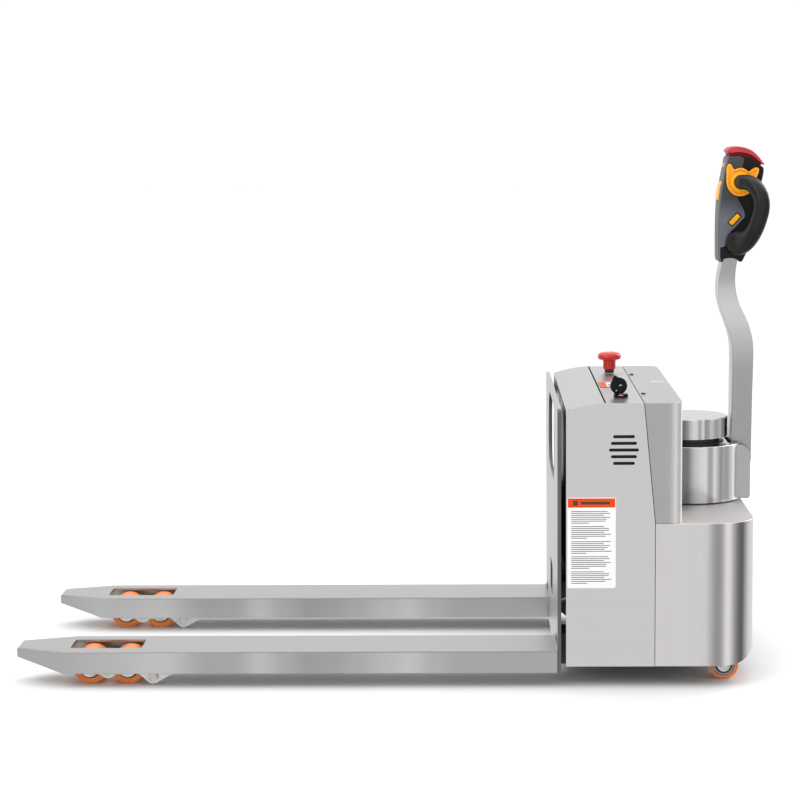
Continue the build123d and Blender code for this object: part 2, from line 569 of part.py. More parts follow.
GRIP_R = 16.5
for side, s in (("left", -1), ("right", 1)):
    pts = [(BF_X, s * 48.5, BF_Z), (BF_X + 0.5, s * 81, BF_Z), (790, s * 108, 1016), (791, s * 109, 974), (776, s * 86, 932), (750, s * 39, 917)]
    radii = [20, 30, 40, 34]
    path = FilletPolyline(*pts, radius=radii)
    w = path.wire() if hasattr(path, "wire") else path
    p0 = Vector(*pts[0])
    d0 = (Vector(*pts[1]) - p0).normalized()
    g = sweep(Plane(origin=p0, z_dir=d0) * Circle(GRIP_R), path=w)
    # the lower root meets the flat side of the head, the neck passes through the wing
    g -= box(600, 900, -39, 39, 800, 1200)
    a, b = sorted((s * 39, s * 50))
    g += cy(BF_X, BF_Z, NECK_R, a, b)
    write(f"handle_grip_{side}", g)

print("nodes", len([f for f in os.listdir("parts") if f.endswith(".step")]))
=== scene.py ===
import bmesh
import bpy
import json
import math
from mathutils import Matrix, Vector, noise
from mathutils.geometry import delaunay_2d_cdt


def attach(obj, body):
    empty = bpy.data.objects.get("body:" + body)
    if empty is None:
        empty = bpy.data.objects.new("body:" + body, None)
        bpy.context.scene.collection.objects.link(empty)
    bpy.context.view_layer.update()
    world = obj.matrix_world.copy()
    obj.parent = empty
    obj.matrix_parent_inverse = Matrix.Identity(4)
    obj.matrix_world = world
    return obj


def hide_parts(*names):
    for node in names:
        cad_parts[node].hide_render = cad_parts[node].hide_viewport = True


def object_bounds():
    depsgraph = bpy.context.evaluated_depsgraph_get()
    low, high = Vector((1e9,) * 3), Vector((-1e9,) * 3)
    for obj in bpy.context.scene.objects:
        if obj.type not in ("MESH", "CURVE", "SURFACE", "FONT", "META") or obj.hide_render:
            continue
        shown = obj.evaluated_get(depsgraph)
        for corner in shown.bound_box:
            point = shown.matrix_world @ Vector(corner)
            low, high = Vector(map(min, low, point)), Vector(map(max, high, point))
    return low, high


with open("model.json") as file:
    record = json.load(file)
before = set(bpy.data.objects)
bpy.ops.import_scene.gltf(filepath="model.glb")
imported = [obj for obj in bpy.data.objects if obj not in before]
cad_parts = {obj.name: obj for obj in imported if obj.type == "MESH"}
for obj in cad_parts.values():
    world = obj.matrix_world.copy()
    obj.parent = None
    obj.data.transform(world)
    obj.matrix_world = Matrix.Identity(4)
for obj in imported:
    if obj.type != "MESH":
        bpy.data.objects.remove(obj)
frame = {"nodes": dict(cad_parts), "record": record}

LO0, HI0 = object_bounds()
N = frame["nodes"]
BODY = {n: b for b, ns in frame["record"]["behaviour"]["bodies"].items() for n in ns}
SLOT = {}
for m in frame["record"].get("materials", []):
    for n in m.get("nodes", []) or []:
        SLOT[n] = m["slot"]
MM = 0.001
sc = bpy.context.scene
sc.view_settings.view_transform = "Standard"
sc.view_settings.look = "None"


def srgb(*c):
    return tuple((v / 255 / 12.92) if v <= 10 else ((v / 255 + 0.055) / 1.055) ** 2.4 for v in c) + (1.0,)


# ------------------------------------------------------------------ materials
class Mat:
    """Small node-graph builder; every pattern is in metres of the object's own frame."""

    def __init__(self, name):
        self.m = bpy.data.materials.new(name)
        self.m.use_nodes = True
        self.t = self.m.node_tree
        self.t.nodes.clear()
        self.out = self.new("ShaderNodeOutputMaterial")
        self.b = self.new("ShaderNodeBsdfPrincipled")
        self.link(self.b.outputs[0], self.out.inputs[0])
        self.tc = self.new("ShaderNodeTexCoord")

    def new(self, kind):
        return self.t.nodes.new(kind)

    def link(self, a, b):
        self.t.links.new(a, b)

    def setv(self, **kw):
        names = {"metallic": "Metallic", "rough": "Roughness", "ior": "IOR", "coat": "Coat Weight",
                 "coat_rough": "Coat Roughness", "aniso": "Anisotropic", "aniso_rot": "Anisotropic Rotation",
                 "sheen": "Sheen Weight", "sss": "Subsurface Weight", "spec": "Specular IOR Level"}
        for k, v in kw.items():
            self.b.inputs[names[k]].default_value = v

    def mapped(self, scale, loc=(0, 0, 0), rot=(0, 0, 0)):
        mp = self.new("ShaderNodeMapping")
        mp.inputs["Scale"].default_value = scale
        mp.inputs["Location"].default_value = loc
        mp.inputs["Rotation"].default_value = rot
        self.link(self.tc.outputs["Object"], mp.inputs["Vector"])
        return mp.outputs[0]

    def noise(self, scale, detail=3.0, rough=0.5, vec=None, dist=0.0):
        n = self.new("ShaderNodeTexNoise")
        n.inputs["Scale"].default_value = scale
        n.inputs["Detail"].default_value = detail
        n.inputs["Roughness"].default_value = rough
        n.inputs["Distortion"].default_value = dist
        self.link(vec if vec is not None else self.tc.outputs["Object"], n.inputs["Vector"])
        return n.outputs["Fac"]

    def voronoi(self, scale, vec=None, feature="F1"):
        n = self.new("ShaderNodeTexVoronoi")
        n.feature = feature
        n.inputs["Scale"].default_value = scale
        self.link(vec if vec is not None else self.tc.outputs["Object"], n.inputs["Vector"])
        return n.outputs["Distance"]

    def span(self, v, a, b, c, d, clamp=True):
        n = self.new("ShaderNodeMapRange")
        n.clamp = clamp
        self.link(v, n.inputs["Value"])
        for k, x in (("From Min", a), ("From Max", b), ("To Min", c), ("To Max", d)):
            n.inputs[k].default_value = x
        return n.outputs[0]

    def math(self, op, a, b=None, clamp=False):
        n = self.new("ShaderNodeMath")
        n.operation = op
        n.use_clamp = clamp
        for i, v in enumerate((a, b)):
            if v is None:
                continue
            if isinstance(v, (int, float)):
                n.inputs[i].default_value = v
            else:
                self.link(v, n.inputs[i])
        return n.outputs[0]

    def mix(self, fac, a, b, kind="MIX"):
        n = self.new("ShaderNodeMix")
        n.data_type = "RGBA"
        n.blend_type = kind
        for s, v in ((0, fac), (6, a), (7, b)):
            if isinstance(v, (int, float)):
                n.inputs[s].default_value = v
            elif isinstance(v, tuple):
                n.inputs[s].default_value = v
            else:
                self.link(v, n.inputs[s])
        return n.outputs[2]

    def ramp(self, v, stops, mode="EASE"):
        n = self.new("ShaderNodeValToRGB")
        cr = n.color_ramp
        cr.interpolation = mode
        while len(cr.elements) < len(stops):
            cr.elements.new(0.5)
        for e, (p, c) in zip(cr.elements, stops):
            e.position = p
            e.color = c if isinstance(c, tuple) else (c, c, c, 1)
        self.link(v, n.inputs[0])
        return n.outputs[0]

    def xyz(self):
        n = self.new("ShaderNodeSeparateXYZ")
        self.link(self.tc.outputs["Object"], n.inputs[0])
        return n.outputs

    def color(self, v):
        if isinstance(v, tuple):
            self.b.inputs["Base Color"].default_value = v
        else:
            self.link(v, self.b.inputs["Base Color"])

    def roughness(self, v):
        self.link(v, self.b.inputs["Roughness"])

    def bump(self, height, strength, dist, prev=None):
        n = self.new("ShaderNodeBump")
        n.inputs["Strength"].default_value = strength
        n.inputs["Distance"].default_value = dist
        self.link(height, n.inputs["Height"])
        if prev is not None:
            self.link(prev, n.inputs["Normal"])
        self.link(n.outputs[0], self.b.inputs["Normal"])
        return n.outputs[0]


def grey(v, tint=(1.0, 1.0, 1.0)):
    return (v * tint[0], v * tint[1], v * tint[2], 1.0)


def steel(name, level, rough=0.27, grain=(3, 3, 900), tone=None, var=0.07, smudge=0.05, bump=0.10, aniso=0.0, tint=(1.0, 0.995, 0.985), rvar=1.0, up_rough=None):
    """Stainless sheet: a fine brushed grain, cloudy handling marks and small bright scratches."""
    k = Mat(name)
    k.setv(metallic=1.0)
    if aniso:
        k.setv(aniso=aniso)
    fine = k.noise(1.0, 4.0, 0.65, k.mapped(grain))
    broad = k.noise(1.0, 3.0, 0.5, k.mapped(tuple(max(2.2, g * 0.06) for g in grain)))
    cloud = k.noise(5.5, 5.0, 0.62, dist=0.6)
    spots = k.noise(70.0, 3.0, 0.6)
    scr = k.noise(1.0, 1.0, 0.4, k.mapped(tuple(g * 0.35 + 6 for g in grain), loc=(3.1, 1.7, 5.3), rot=(0.05, 0.09, 0.04)))
    f = k.math("ADD", k.span(fine, 0.25, 0.75, -var, var), k.span(broad, 0.3, 0.7, -var * 0.5, var * 0.5))
    f = k.math("ADD", f, k.span(cloud, 0.3, 0.7, -smudge, smudge))
    f = k.math("ADD", f, 1.0)
    # painted light and shade: the tones passed in paint reflection bands, lit tops and shaded edges into the colour
    if tone is not None:
        f = k.math("MULTIPLY", f, tone(k))
    col = k.mix(1.0, grey(level, tint), k.mix(0.0, f, f), "MULTIPLY")
    k.color(col)
    r = k.math("ADD", k.span(cloud, 0.3, 0.75, rough - 0.045 * rvar, rough + 0.075 * rvar), k.span(fine, 0.3, 0.7, -0.03 * rvar, 0.03 * rvar))
    r = k.math("ADD", r, k.span(spots, 0.62, 0.75, 0.0, 0.05 * rvar))
    if up_rough:
        r = k.mix(k.span(facing(k)[2], 0.6, 0.95, 0.0, 1.0), r, grey(up_rough))
    k.roughness(r)
    h = k.math("ADD", fine, k.span(scr, 0.70, 0.74, 0.0, -1.2))
    k.bump(h, bump, 0.00012)
    return k.m


def x_tone(stops, x0, x1):
    """A tone along X between two stations, in parts of the base."""
    def build(k):
        x = k.xyz()[0]
        t = k.span(x, x0, x1, 0.0, 1.0)
        r = k.ramp(t, stops, "EASE")
        return r
    return build


def px_stops(samples, base):
    """Tone samples (station, sRGB level) as ramp stops relative to a base level."""
    lin = [(x, ((v / 255 + 0.055) / 1.055) ** 2.4) for x, v in samples]
    b = ((base / 255 + 0.055) / 1.055) ** 2.4
    x0, x1 = lin[0][0], lin[-1][0]
    return [((x - x0) / (x1 - x0), v / b) for x, v in lin], x0, x1


def plastic(name, base, dark, rough=0.45, tex=2600.0, bump=0.25, coat=0.0, scuff=0.12, sss=0.0, worn=None, spec=0.5, painted_shade_ztone=None):
    """Moulded plastic: a spark-eroded grain, slight colour drift, handling polish and fine scuffs, and an optional
    painted shade along Z.
    """
    k = Mat(name)
    k.setv(spec=spec)
    if coat:
        k.setv(coat=coat, coat_rough=0.12)
    if sss:
        k.setv(sss=sss)
        k.b.inputs["Subsurface Radius"].default_value = (0.004, 0.002, 0.001)
    g = k.noise(tex, 2.0, 0.55)
    cloud = k.noise(14.0, 4.0, 0.6, dist=0.4)
    scr = k.noise(1.0, 2.0, 0.5, k.mapped((60, 90, 700), rot=(0.4, 0.3, 0.2)))
    f = k.span(cloud, 0.32, 0.68, 0.0, 1.0)
    col = k.mix(f, dark, base)
    col = k.mix(k.span(scr, 0.66, 0.74, 0.0, scuff), col, worn or tuple(min(1.0, c * 1.9 + 0.02) for c in base[:3]) + (1,))
    # painted shade: the colour darkens towards the top and lightens towards the bottom
    if painted_shade_ztone:
        f = k.span(k.xyz()[2], *painted_shade_ztone)
        col = k.mix(1.0, col, k.mix(0.0, f, f), "MULTIPLY")
    k.color(col)
    r = k.math("ADD", k.span(cloud, 0.3, 0.7, rough - 0.06, rough + 0.06), k.span(g, 0.3, 0.7, -0.05, 0.05))
    k.roughness(r)
    k.bump(g, bump, 0.00008)
    return k.m


def paint(name, base, rough=0.38, light=None):
    """Enamel over steel: orange peel, dust in the hollows and chips down to the metal."""
    k = Mat(name)
    peel = k.noise(420.0, 2.0, 0.5)
    dust = k.noise(9.0, 5.0, 0.65, dist=0.5)
    chip = k.voronoi(55.0, k.mapped((1, 1, 1.4)))
    cn = k.noise(130.0, 4.0, 0.7)
    mask = k.math("MULTIPLY", k.span(chip, 0.0, 0.16, 1.0, 0.0), k.span(cn, 0.52, 0.6, 0.0, 1.0), True)
    body = k.mix(k.span(dust, 0.35, 0.7, 0.0, 0.35), base, tuple(min(1, c * 1.5 + 0.03) for c in base[:3]) + (1,))
    if light is not None:
        o = k.xyz()
        m = k.math("MULTIPLY", k.span(o[0], light[0], light[0] + 0.001, 1.0, 0.0), k.span(o[2], 0.39, 0.391, 0.0, 1.0))
        m = k.math("MULTIPLY", m, k.math("MULTIPLY", k.span(o[1], 0.165, 0.166, 1.0, 0.0), k.span(o[1], -0.096, -0.095, 0.0, 1.0)))
        body = k.mix(m, body, light[1])
    k.color(k.mix(mask, body, (0.42, 0.41, 0.40, 1)))
    k.roughness(k.math("ADD", k.span(dust, 0.3, 0.7, rough - 0.05, rough + 0.15), k.span(peel, 0.3, 0.7, -0.03, 0.03)))
    k.bump(k.math("SUBTRACT", peel, k.math("MULTIPLY", mask, 1.5)), 0.18, 0.00015)
    return k.m


def zinc(name, level=0.55, rough=0.38, tint=(1.0, 1.0, 0.98)):
    """Zinc-plated or cast steel: mottled grey, tool marks and a little grime."""
    k = Mat(name)
    k.setv(metallic=1.0)
    sp = k.voronoi(160.0)
    cloud = k.noise(38.0, 5.0, 0.65, dist=0.8)
    fine = k.noise(900.0, 3.0, 0.6)
    f = k.math("ADD", k.span(sp, 0.0, 0.6, 0.88, 1.06), k.span(cloud, 0.3, 0.72, -0.20, 0.10))
    grime = k.span(k.noise(22.0, 6.0, 0.7, dist=1.2), 0.52, 0.74, 0.0, 0.55)
    col = k.mix(1.0, grey(level, tint), k.mix(0.0, f, f), "MULTIPLY")
    k.color(k.mix(grime, col, (0.10, 0.092, 0.08, 1)))
    k.roughness(k.math("ADD", k.span(cloud, 0.3, 0.7, rough - 0.08, rough + 0.12), k.span(fine, 0.3, 0.7, -0.04, 0.04)))
    k.bump(k.math("ADD", fine, k.math("MULTIPLY", cloud, 2.0)), 0.22, 0.00012)
    return k.m


def urethane(name, base, deep, rough=0.34):
    """Cast polyurethane tread: translucent, scuffed round the rolling face, with dust pressed in."""
    k = Mat(name)
    k.setv(sss=0.12, coat=0.15, coat_rough=0.25)
    k.b.inputs["Subsurface Radius"].default_value = (0.006, 0.0025, 0.0006)
    cloud = k.noise(30.0, 4.0, 0.6, dist=0.5)
    scuff = k.noise(1.0, 3.0, 0.6, k.mapped((90, 700, 90)))
    dirt = k.noise(120.0, 5.0, 0.7)
    col = k.mix(k.span(cloud, 0.3, 0.7, 0.0, 1.0), deep, base)
    col = k.mix(k.span(scuff, 0.60, 0.72, 0.0, 0.22), col, (0.85, 0.52, 0.22, 1))
    col = k.mix(k.span(dirt, 0.62, 0.78, 0.0, 0.35), col, (0.10, 0.06, 0.03, 1))
    k.color(col)
    k.roughness(k.math("ADD", k.span(cloud, 0.3, 0.7, rough - 0.06, rough + 0.08), k.span(scuff, 0.55, 0.7, 0.0, 0.12)))
    k.bump(k.math("ADD", scuff, dirt), 0.16, 0.00015)
    return k.m


# painted reflection bands along the fork sides, one table for each fork
FORK_REFLECTION_PAINT_SAMPLES = [(60, 169), (110, 180), (160, 190), (210, 164), (235, 166), (260, 186), (285, 169), (310, 156), (335, 161), (360, 171), (385, 182), (410, 190), (435, 174), (460, 165), (565, 165)]
FORK_NEAR_PAINTED_BANDS, NX0, NX1 = px_stops([(-0.8346 + 0.0021105 * u, v) for u, v in FORK_REFLECTION_PAINT_SAMPLES], 178)
FORK_FAR_PAINTED_BANDS, GX0, GX1 = px_stops([(-0.9432 + 0.0023427 * u, v) for u, v in FORK_REFLECTION_PAINT_SAMPLES], 178)


def facing(k):
    nrm = k.new("ShaderNodeNewGeometry")
    s = k.new("ShaderNodeSeparateXYZ")
    k.link(nrm.outputs["Normal"], s.inputs[0])
    return s.outputs


def fork_painted_reflection_tone(stops, x0, x1):
    """Painted reflection bands along the fork side, a painted even tone on faces that look up and a painted shade on
    the edge between.
    """
    def build(k):
        o = k.xyz()
        side = k.ramp(k.span(o[0], x0, x1, 0.0, 1.0), stops, "EASE")
        nz = facing(k)[2]
        edge = k.mix(k.span(nz, 0.08, 0.25, 0.0, 1.0), side, grey(0.55))
        return k.mix(k.span(nz, 0.86, 0.97, 0.0, 1.0), edge, grey(0.90))
    return build


def painted_top_light_tone(v, side=1.0):
    """A painted light tone for faces that look up."""
    def build(k):
        return k.mix(k.span(facing(k)[2], 0.6, 0.95, 0.0, 1.0), grey(side), grey(v))
    return build


def painted_edge_shade(v):
    """The cut edges of a plate, painted darker than its rolled faces: painted shade."""
    def build(k):
        ny = k.math("ABSOLUTE", facing(k)[1])
        return k.mix(k.span(ny, 0.2, 0.55, 0.0, 1.0), grey(1.0), grey(v))
    return build


# painted reflection bands: tone along X of the rolled sheets, at their rest place
SKIRT_PAINTED_REFLECTIONS = [(0.64, 1.0), (0.652, 0.97), (0.659, 0.82), (0.665, 0.65), (0.671, 0.52), (0.677, 0.46), (0.684, 0.54), (0.69, 0.82), (0.696, 1.13), (0.703, 1.09), (0.71, 0.87), (0.716, 0.7), (0.723, 0.59), (0.73, 0.53), (0.737, 0.91), (0.745, 0.97), (0.753, 0.95)]
DRUM_PAINTED_REFLECTIONS = [(0.628, 0.3), (0.634, 0.3), (0.641, 0.53), (0.647, 0.78), (0.654, 0.92), (0.66, 1.01), (0.667, 1.07), (0.674, 1.09), (0.68, 0.6), (0.687, 0.6), (0.694, 1.29), (0.701, 1.09), (0.708, 0.9), (0.715, 1.75), (0.722, 2.1), (0.73, 2.1)]
CAP_PAINTED_REFLECTIONS = [(0.63, 0.3), (0.637, 0.48), (0.643, 0.83), (0.65, 1.05), (0.656, 1.02), (0.663, 0.52), (0.67, 1.09), (0.676, 0.42), (0.683, 0.69), (0.69, 1.6), (0.697, 1.6), (0.704, 1.57), (0.712, 1.15), (0.72, 1.2), (0.729, 0.5), (0.738, 0.3)]
HOOD_PAINTED_REFLECTIONS = [(0.520, 1.0), (0.568, 1.0), (0.576, 1.05), (0.584, 1.45), (0.590, 2.2), (0.5955, 2.3), (0.5975, 1.30), (0.5993, 2.0), (0.603, 3.0)]
ARM_PAINTED_REFLECTIONS = [(0.40, 0.98), (0.57, 0.99), (0.64, 1.02), (0.70, 1.36), (0.742, 1.68), (0.775, 1.75), (0.80, 1.63), (0.817, 1.50), (0.83, 1.26), (0.843, 1.13), (0.858, 1.06), (0.90, 1.06)]


def painted_reflection_bands(table, painted_top_v, axis=0, plate=None, front=None):
    """Painted reflection bands: a table of tones along one axis, apart from faces that look up, flat end plates and
    front faces, which get painted tones of their own.
    """
    a, z = table[0][0], table[-1][0]

    def build(k):
        o = k.xyz()
        t = k.ramp(k.span(o[axis], a, z, 0.0, 1.0), [((x - a) / (z - a), v) for x, v in table], "LINEAR")
        n = facing(k)
        if plate:
            # painted reflection: flat end plates get a darker tone of their own
            m = k.math("MULTIPLY", k.span(k.math("ABSOLUTE", n[1]), 0.93, 0.97, 0.0, 1.0), k.span(o[0], plate[0], plate[0] + 0.001, 0.0, 1.0))
            t = k.mix(m, t, grey(plate[1]))
        # painted light: front faces get a tone of their own, lighter on the arm
        if front:
            t = k.mix(k.span(k.math("ABSOLUTE", n[0]), 0.5, 0.9, 0.0, 1.0), t, grey(front))
        return k.mix(k.span(n[2], 0.6, 0.95, 0.0, 1.0), t, grey(painted_top_v))
    return build


M = {}
# the skirt, hood, cap, drum, backrest, forks and arm carry painted reflection, light and shade through their tones
M["sheet_side"] = steel("stainless_side_cover", 0.612, 0.34, (5, 5, 850), var=0.020, smudge=0.015, bump=0.03, rvar=0.5)
M["sheet_top"] = steel("stainless_lid", 0.50, 0.32, (400, 5, 400), var=0.025, smudge=0.02, bump=0.03, rvar=0.5)
M["sheet_skirt"] = steel("stainless_skirt", 0.635, 0.20, (700, 700, 4), tone=painted_reflection_bands(SKIRT_PAINTED_REFLECTIONS, 0.95), up_rough=0.55, var=0.015, smudge=0.015, bump=0.018, tint=(1.0, 0.975, 0.96), rvar=0.4)
M["sheet_hood"] = steel("stainless_hood", 0.42, 0.40, (700, 700, 5), tone=painted_reflection_bands(HOOD_PAINTED_REFLECTIONS, 1.12), var=0.018, smudge=0.02, bump=0.02, rvar=0.4)
M["sheet_cap"] = steel("stainless_cap", 0.62, 0.16, (700, 700, 5), tone=painted_reflection_bands(CAP_PAINTED_REFLECTIONS, 0.82), var=0.02, smudge=0.02, bump=0.02, rvar=0.4)
M["sheet_drum"] = steel("stainless_drum", 0.62, 0.16, (700, 700, 5), tone=painted_reflection_bands(DRUM_PAINTED_REFLECTIONS, 0.9, plate=(0.7235, 0.66)), var=0.02, smudge=0.02, bump=0.02, rvar=0.4)
M["sheet_back"] = steel("stainless_backrest", 0.48, 0.34, (5, 700, 5), tone=painted_edge_shade(0.30), var=0.05, smudge=0.08, bump=0.08, tint=(1.0, 1.0, 0.97))
M["fork_left"] = steel("stainless_fork_left", 0.485, 0.33, (4, 700, 700), tone=fork_painted_reflection_tone(FORK_NEAR_PAINTED_BANDS, NX0, NX1), var=0.02, smudge=0.02, bump=0.04, tint=(1.0, 0.997, 0.995), rvar=0.6)
M["fork_right"] = steel("stainless_fork_right", 0.485, 0.33, (4, 700, 700), tone=fork_painted_reflection_tone(FORK_FAR_PAINTED_BANDS, GX0, GX1), var=0.02, smudge=0.02, bump=0.04, tint=(1.0, 0.997, 0.995), rvar=0.6)
M["arm"] = steel("stainless_arm_plate", 0.365, 0.32, (700, 700, 4), tone=painted_reflection_bands(ARM_PAINTED_REFLECTIONS, 1.0, axis=2, front=1.42), var=0.02, smudge=0.02, bump=0.03, tint=(1.0, 0.99, 0.975), rvar=0.6)
M["weld"] = zinc("weld_metal", 0.42, 0.42, (1.0, 0.97, 0.93))
M["frame"] = paint("frame_enamel", (0.035, 0.036, 0.038, 1), 0.42, light=(0.368, (0.62, 0.63, 0.62, 1)))
# painted shade: near-black enamel on the heel plates and rocker shaft, so the gap behind the backrest reads as shade
M["heel"] = paint("gap_shade_black_enamel", (0.016, 0.016, 0.017, 1), 0.45)
M["motor"] = paint("motor_enamel", (0.022, 0.022, 0.024, 1), 0.40)
M["zinc"] = zinc("zinc_plate", 0.62, 0.36)
M["arm_pin"] = steel("turned_pin_ends", 0.42, 0.30, (300, 300, 300), var=0.03, smudge=0.03, bump=0.03)
M["pin"] = zinc("turned_pin", 0.50, 0.28, (1, 0.99, 0.96))
M["cast"] = zinc("cast_iron_hub", 0.30, 0.45, (1, 0.98, 0.95))
M["bearing"] = zinc("bearing_ring", 0.68, 0.20)
M["hub"] = zinc("castor_hub_steel", 0.30, 0.26)
M["orange"] = urethane("orange_urethane", (0.88, 0.235, 0.006, 1), (0.70, 0.150, 0.003, 1))
M["tyre"] = urethane("drive_tyre_urethane", (0.16, 0.145, 0.12, 1), (0.08, 0.07, 0.06, 1), 0.5)
# painted shade: the slate darkens towards the top of the head
M["slate"] = plastic("slate_moulding", srgb(94, 97, 105), srgb(84, 87, 95), 0.52, 2400, 0.22, scuff=0.08, spec=0.25, painted_shade_ztone=(1.012, 0.965, 0.50, 1.30))
# painted light: a lighter copy of the slate for the front strip, as lit from -X
M["slate_painted_lit_front"] = plastic("slate_front_moulding", srgb(98, 102, 105), srgb(89, 93, 97), 0.52, 2400, 0.20, scuff=0.06, spec=0.3)
M["black"] = plastic("black_moulding", (0.0050, 0.0050, 0.0055, 1), (0.0032, 0.0032, 0.0036, 1), 0.48, 2600, 0.20, scuff=0.04, spec=0.22)
M["seal"] = plastic("black_seal", (0.012, 0.012, 0.014, 1), (0.007, 0.007, 0.008, 1), 0.38, 1800, 0.2)
M["grip"] = plastic("grip_rubber_skin", (0.0075, 0.0082, 0.0082, 1), (0.0045, 0.0050, 0.0050, 1), 0.34, 1900, 0.16, scuff=0.05, spec=0.30)
# painted shade: a deeper yellow for the low floors of the wing lobes
M["yellow_painted_shade"] = plastic("yellow_moulding_painted_shade", (0.93, 0.36, 0.008, 1), (0.88, 0.31, 0.006, 1), 0.38, 2400, 0.15, scuff=0.05, sss=0.05, spec=0.3)
M["yellow"] = plastic("yellow_moulding", (1.0, 0.47, 0.012, 1), (0.95, 0.40, 0.008, 1), 0.36, 2400, 0.15, scuff=0.06, sss=0.05, spec=0.3)
M["amber"] = plastic("amber_button", (0.98, 0.50, 0.075, 1), (0.92, 0.40, 0.040, 1), 0.36, 2400, 0.15, coat=0.1, scuff=0.10, sss=0.06)
M["red"] = plastic("red_moulding", (0.50, 0.040, 0.055, 1), (0.40, 0.024, 0.034, 1), 0.40, 2400, 0.15, scuff=0.12, sss=0.04, spec=0.35)
M["red_dark"] = plastic("dark_red_skirt", (0.16, 0.004, 0.008, 1), (0.11, 0.002, 0.005, 1), 0.50, 2400, 0.12, scuff=0.03, spec=0.12)
M["stop"] = plastic("stop_red", (0.60, 0.014, 0.014, 1), (0.52, 0.010, 0.010, 1), 0.16, 1500, 0.04, coat=0.3, scuff=0.04, spec=0.35)
M["key"] = plastic("key_bow", (0.0035, 0.0035, 0.0035, 1), (0.0025, 0.0025, 0.0025, 1), 0.12, 1500, 0.04, scuff=0.04, spec=0.16)
M["battery"] = plastic("battery_case", (0.020, 0.021, 0.024, 1), (0.012, 0.012, 0.014, 1), 0.5, 1500, 0.3)
M["label"] = plastic("label_white", (0.80, 0.80, 0.80, 1), (0.76, 0.76, 0.77, 1), 0.40, 900, 0.05, scuff=0.04, worn=(0.6, 0.6, 0.6, 1))
M["label_grey"] = plastic("label_grey_ink", (0.15, 0.15, 0.155, 1), (0.12, 0.12, 0.125, 1), 0.42, 900, 0.05, scuff=0.04)
M["label_orange"] = plastic("label_orange_ink", (0.70, 0.062, 0.002, 1), (0.66, 0.056, 0.002, 1), 0.40, 900, 0.05, scuff=0.03, spec=0.12)
M["label_dark"] = plastic("label_dark_ink", (0.03, 0.03, 0.03, 1), (0.025, 0.025, 0.025, 1), 0.42, 900, 0.05, scuff=0.04)
M["label_pink"] = plastic("label_pink_ink", (0.72, 0.50, 0.50, 1), (0.66, 0.42, 0.42, 1), 0.42, 900, 0.05, scuff=0.04)
M["label_lilac"] = plastic("label_pale_ink", (0.62, 0.60, 0.70, 1), (0.58, 0.56, 0.66, 1), 0.42, 900, 0.05, scuff=0.04)
M["screw"] = zinc("black_oxide_screw", 0.10, 0.36)

NODE_MAT = {
    "side_cover_left": "sheet_side", "side_cover_right": "sheet_side", "front_lid": "sheet_top", "control_panel": "sheet_top",
    "rear_hood": "sheet_hood", "rear_skirt": "sheet_skirt", "tiller_base": "sheet_drum", "motor_cap": "sheet_cap",
    "backrest": "sheet_back", "fork_left": "fork_left", "fork_right": "fork_right", "tiller_arm": "arm", "chassis_frame": "frame",
    "heel_plates": "heel", "lift_bracket": "zinc", "lift_cylinder_rod": "bearing", "lift_cylinder_barrel": "motor",
    "load_arm_pivot_pins": "pin", "rocker_shaft": "heel", "tie_link": "zinc", "drive_housing": "cast", "drive_motor": "motor",
    "tiller_pivot_pin": "arm_pin", "drive_wheel_tyre": "tyre", "drive_wheel_hub": "cast", "head_housing": "slate",
    "handle_grip_left": "grip", "handle_grip_right": "grip", "throttle_butterfly": "yellow", "belly_button": "red",
    "lift_button": "amber", "horn_button": "yellow", "side_button_left": "yellow", "estop_knob": "stop", "key": "key",
    "key_switch": "key", "estop_base": "seal", "battery_indicator": "seal", "batteries": "battery", "motor_controller": "cast",
    "hydraulic_power_unit": "motor", "steering_bearing_ring": "bearing",
}
for s in ("left", "right"):
    NODE_MAT.update({"load_arm_" + s: "zinc", "load_arm_pins_" + s: "pin", "bogie_plates_" + s: "zinc", "roller_axles_" + s: "pin",
                     "load_roller_front_" + s: "orange", "load_roller_rear_" + s: "orange", "pull_rod_" + s: "zinc",
                     "castor_fork_" + s: "zinc", "castor_wheel_" + s: "orange"})
for n, o in N.items():
    mat = M[NODE_MAT[n]]
    if not o.material_slots:
        o.data.materials.append(mat)
    for sl in o.material_slots:
        sl.material = mat


# ------------------------------------------------------------------ mesh helpers
def finish_mesh(name, bm, mats, body, sharp=38.0, smooth=True):
    bmesh.ops.recalc_face_normals(bm, faces=bm.faces)
    for f in bm.faces:
        f.smooth = smooth
    lim = math.radians(sharp)
    for e in bm.edges:
        e.smooth = not (len(e.link_faces) == 2 and e.calc_face_angle(0.0) > lim)
    me = bpy.data.meshes.new(name)
    bm.to_mesh(me)
    bm.free()
    ob = bpy.data.objects.new(name, me)
    sc.collection.objects.link(ob)
    for m in mats:
        me.materials.append(M[m] if isinstance(m, str) else m)
    if body:
        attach(ob, body)
    return ob


def baked(ob):
    """The object's modifiers become its mesh."""
    dg = bpy.context.evaluated_depsgraph_get()
    me = bpy.data.meshes.new_from_object(ob.evaluated_get(dg))
    old = ob.data
    ob.modifiers.clear()
    ob.data = me
    bpy.data.meshes.remove(old)
    return ob


def loft(bm, rings, caps=(True, True), mat_of=None):
    """Quads between rings of equally many points; flat caps at the ends."""
    vs = [[bm.verts.new(Vector(p) * MM) for p in r] for r in rings]
    n = len(vs[0])
    for i in range(len(vs) - 1):
        for j in range(n):
            k = (j + 1) % n
            f = bm.faces.new((vs[i][j], vs[i][k], vs[i + 1][k], vs[i + 1][j]))
            if mat_of:
                f.material_index = mat_of(i, j)
    if caps[0]:
        bm.faces.new(vs[0][::-1])
    if caps[1]:
        bm.faces.new(vs[-1])
    return vs


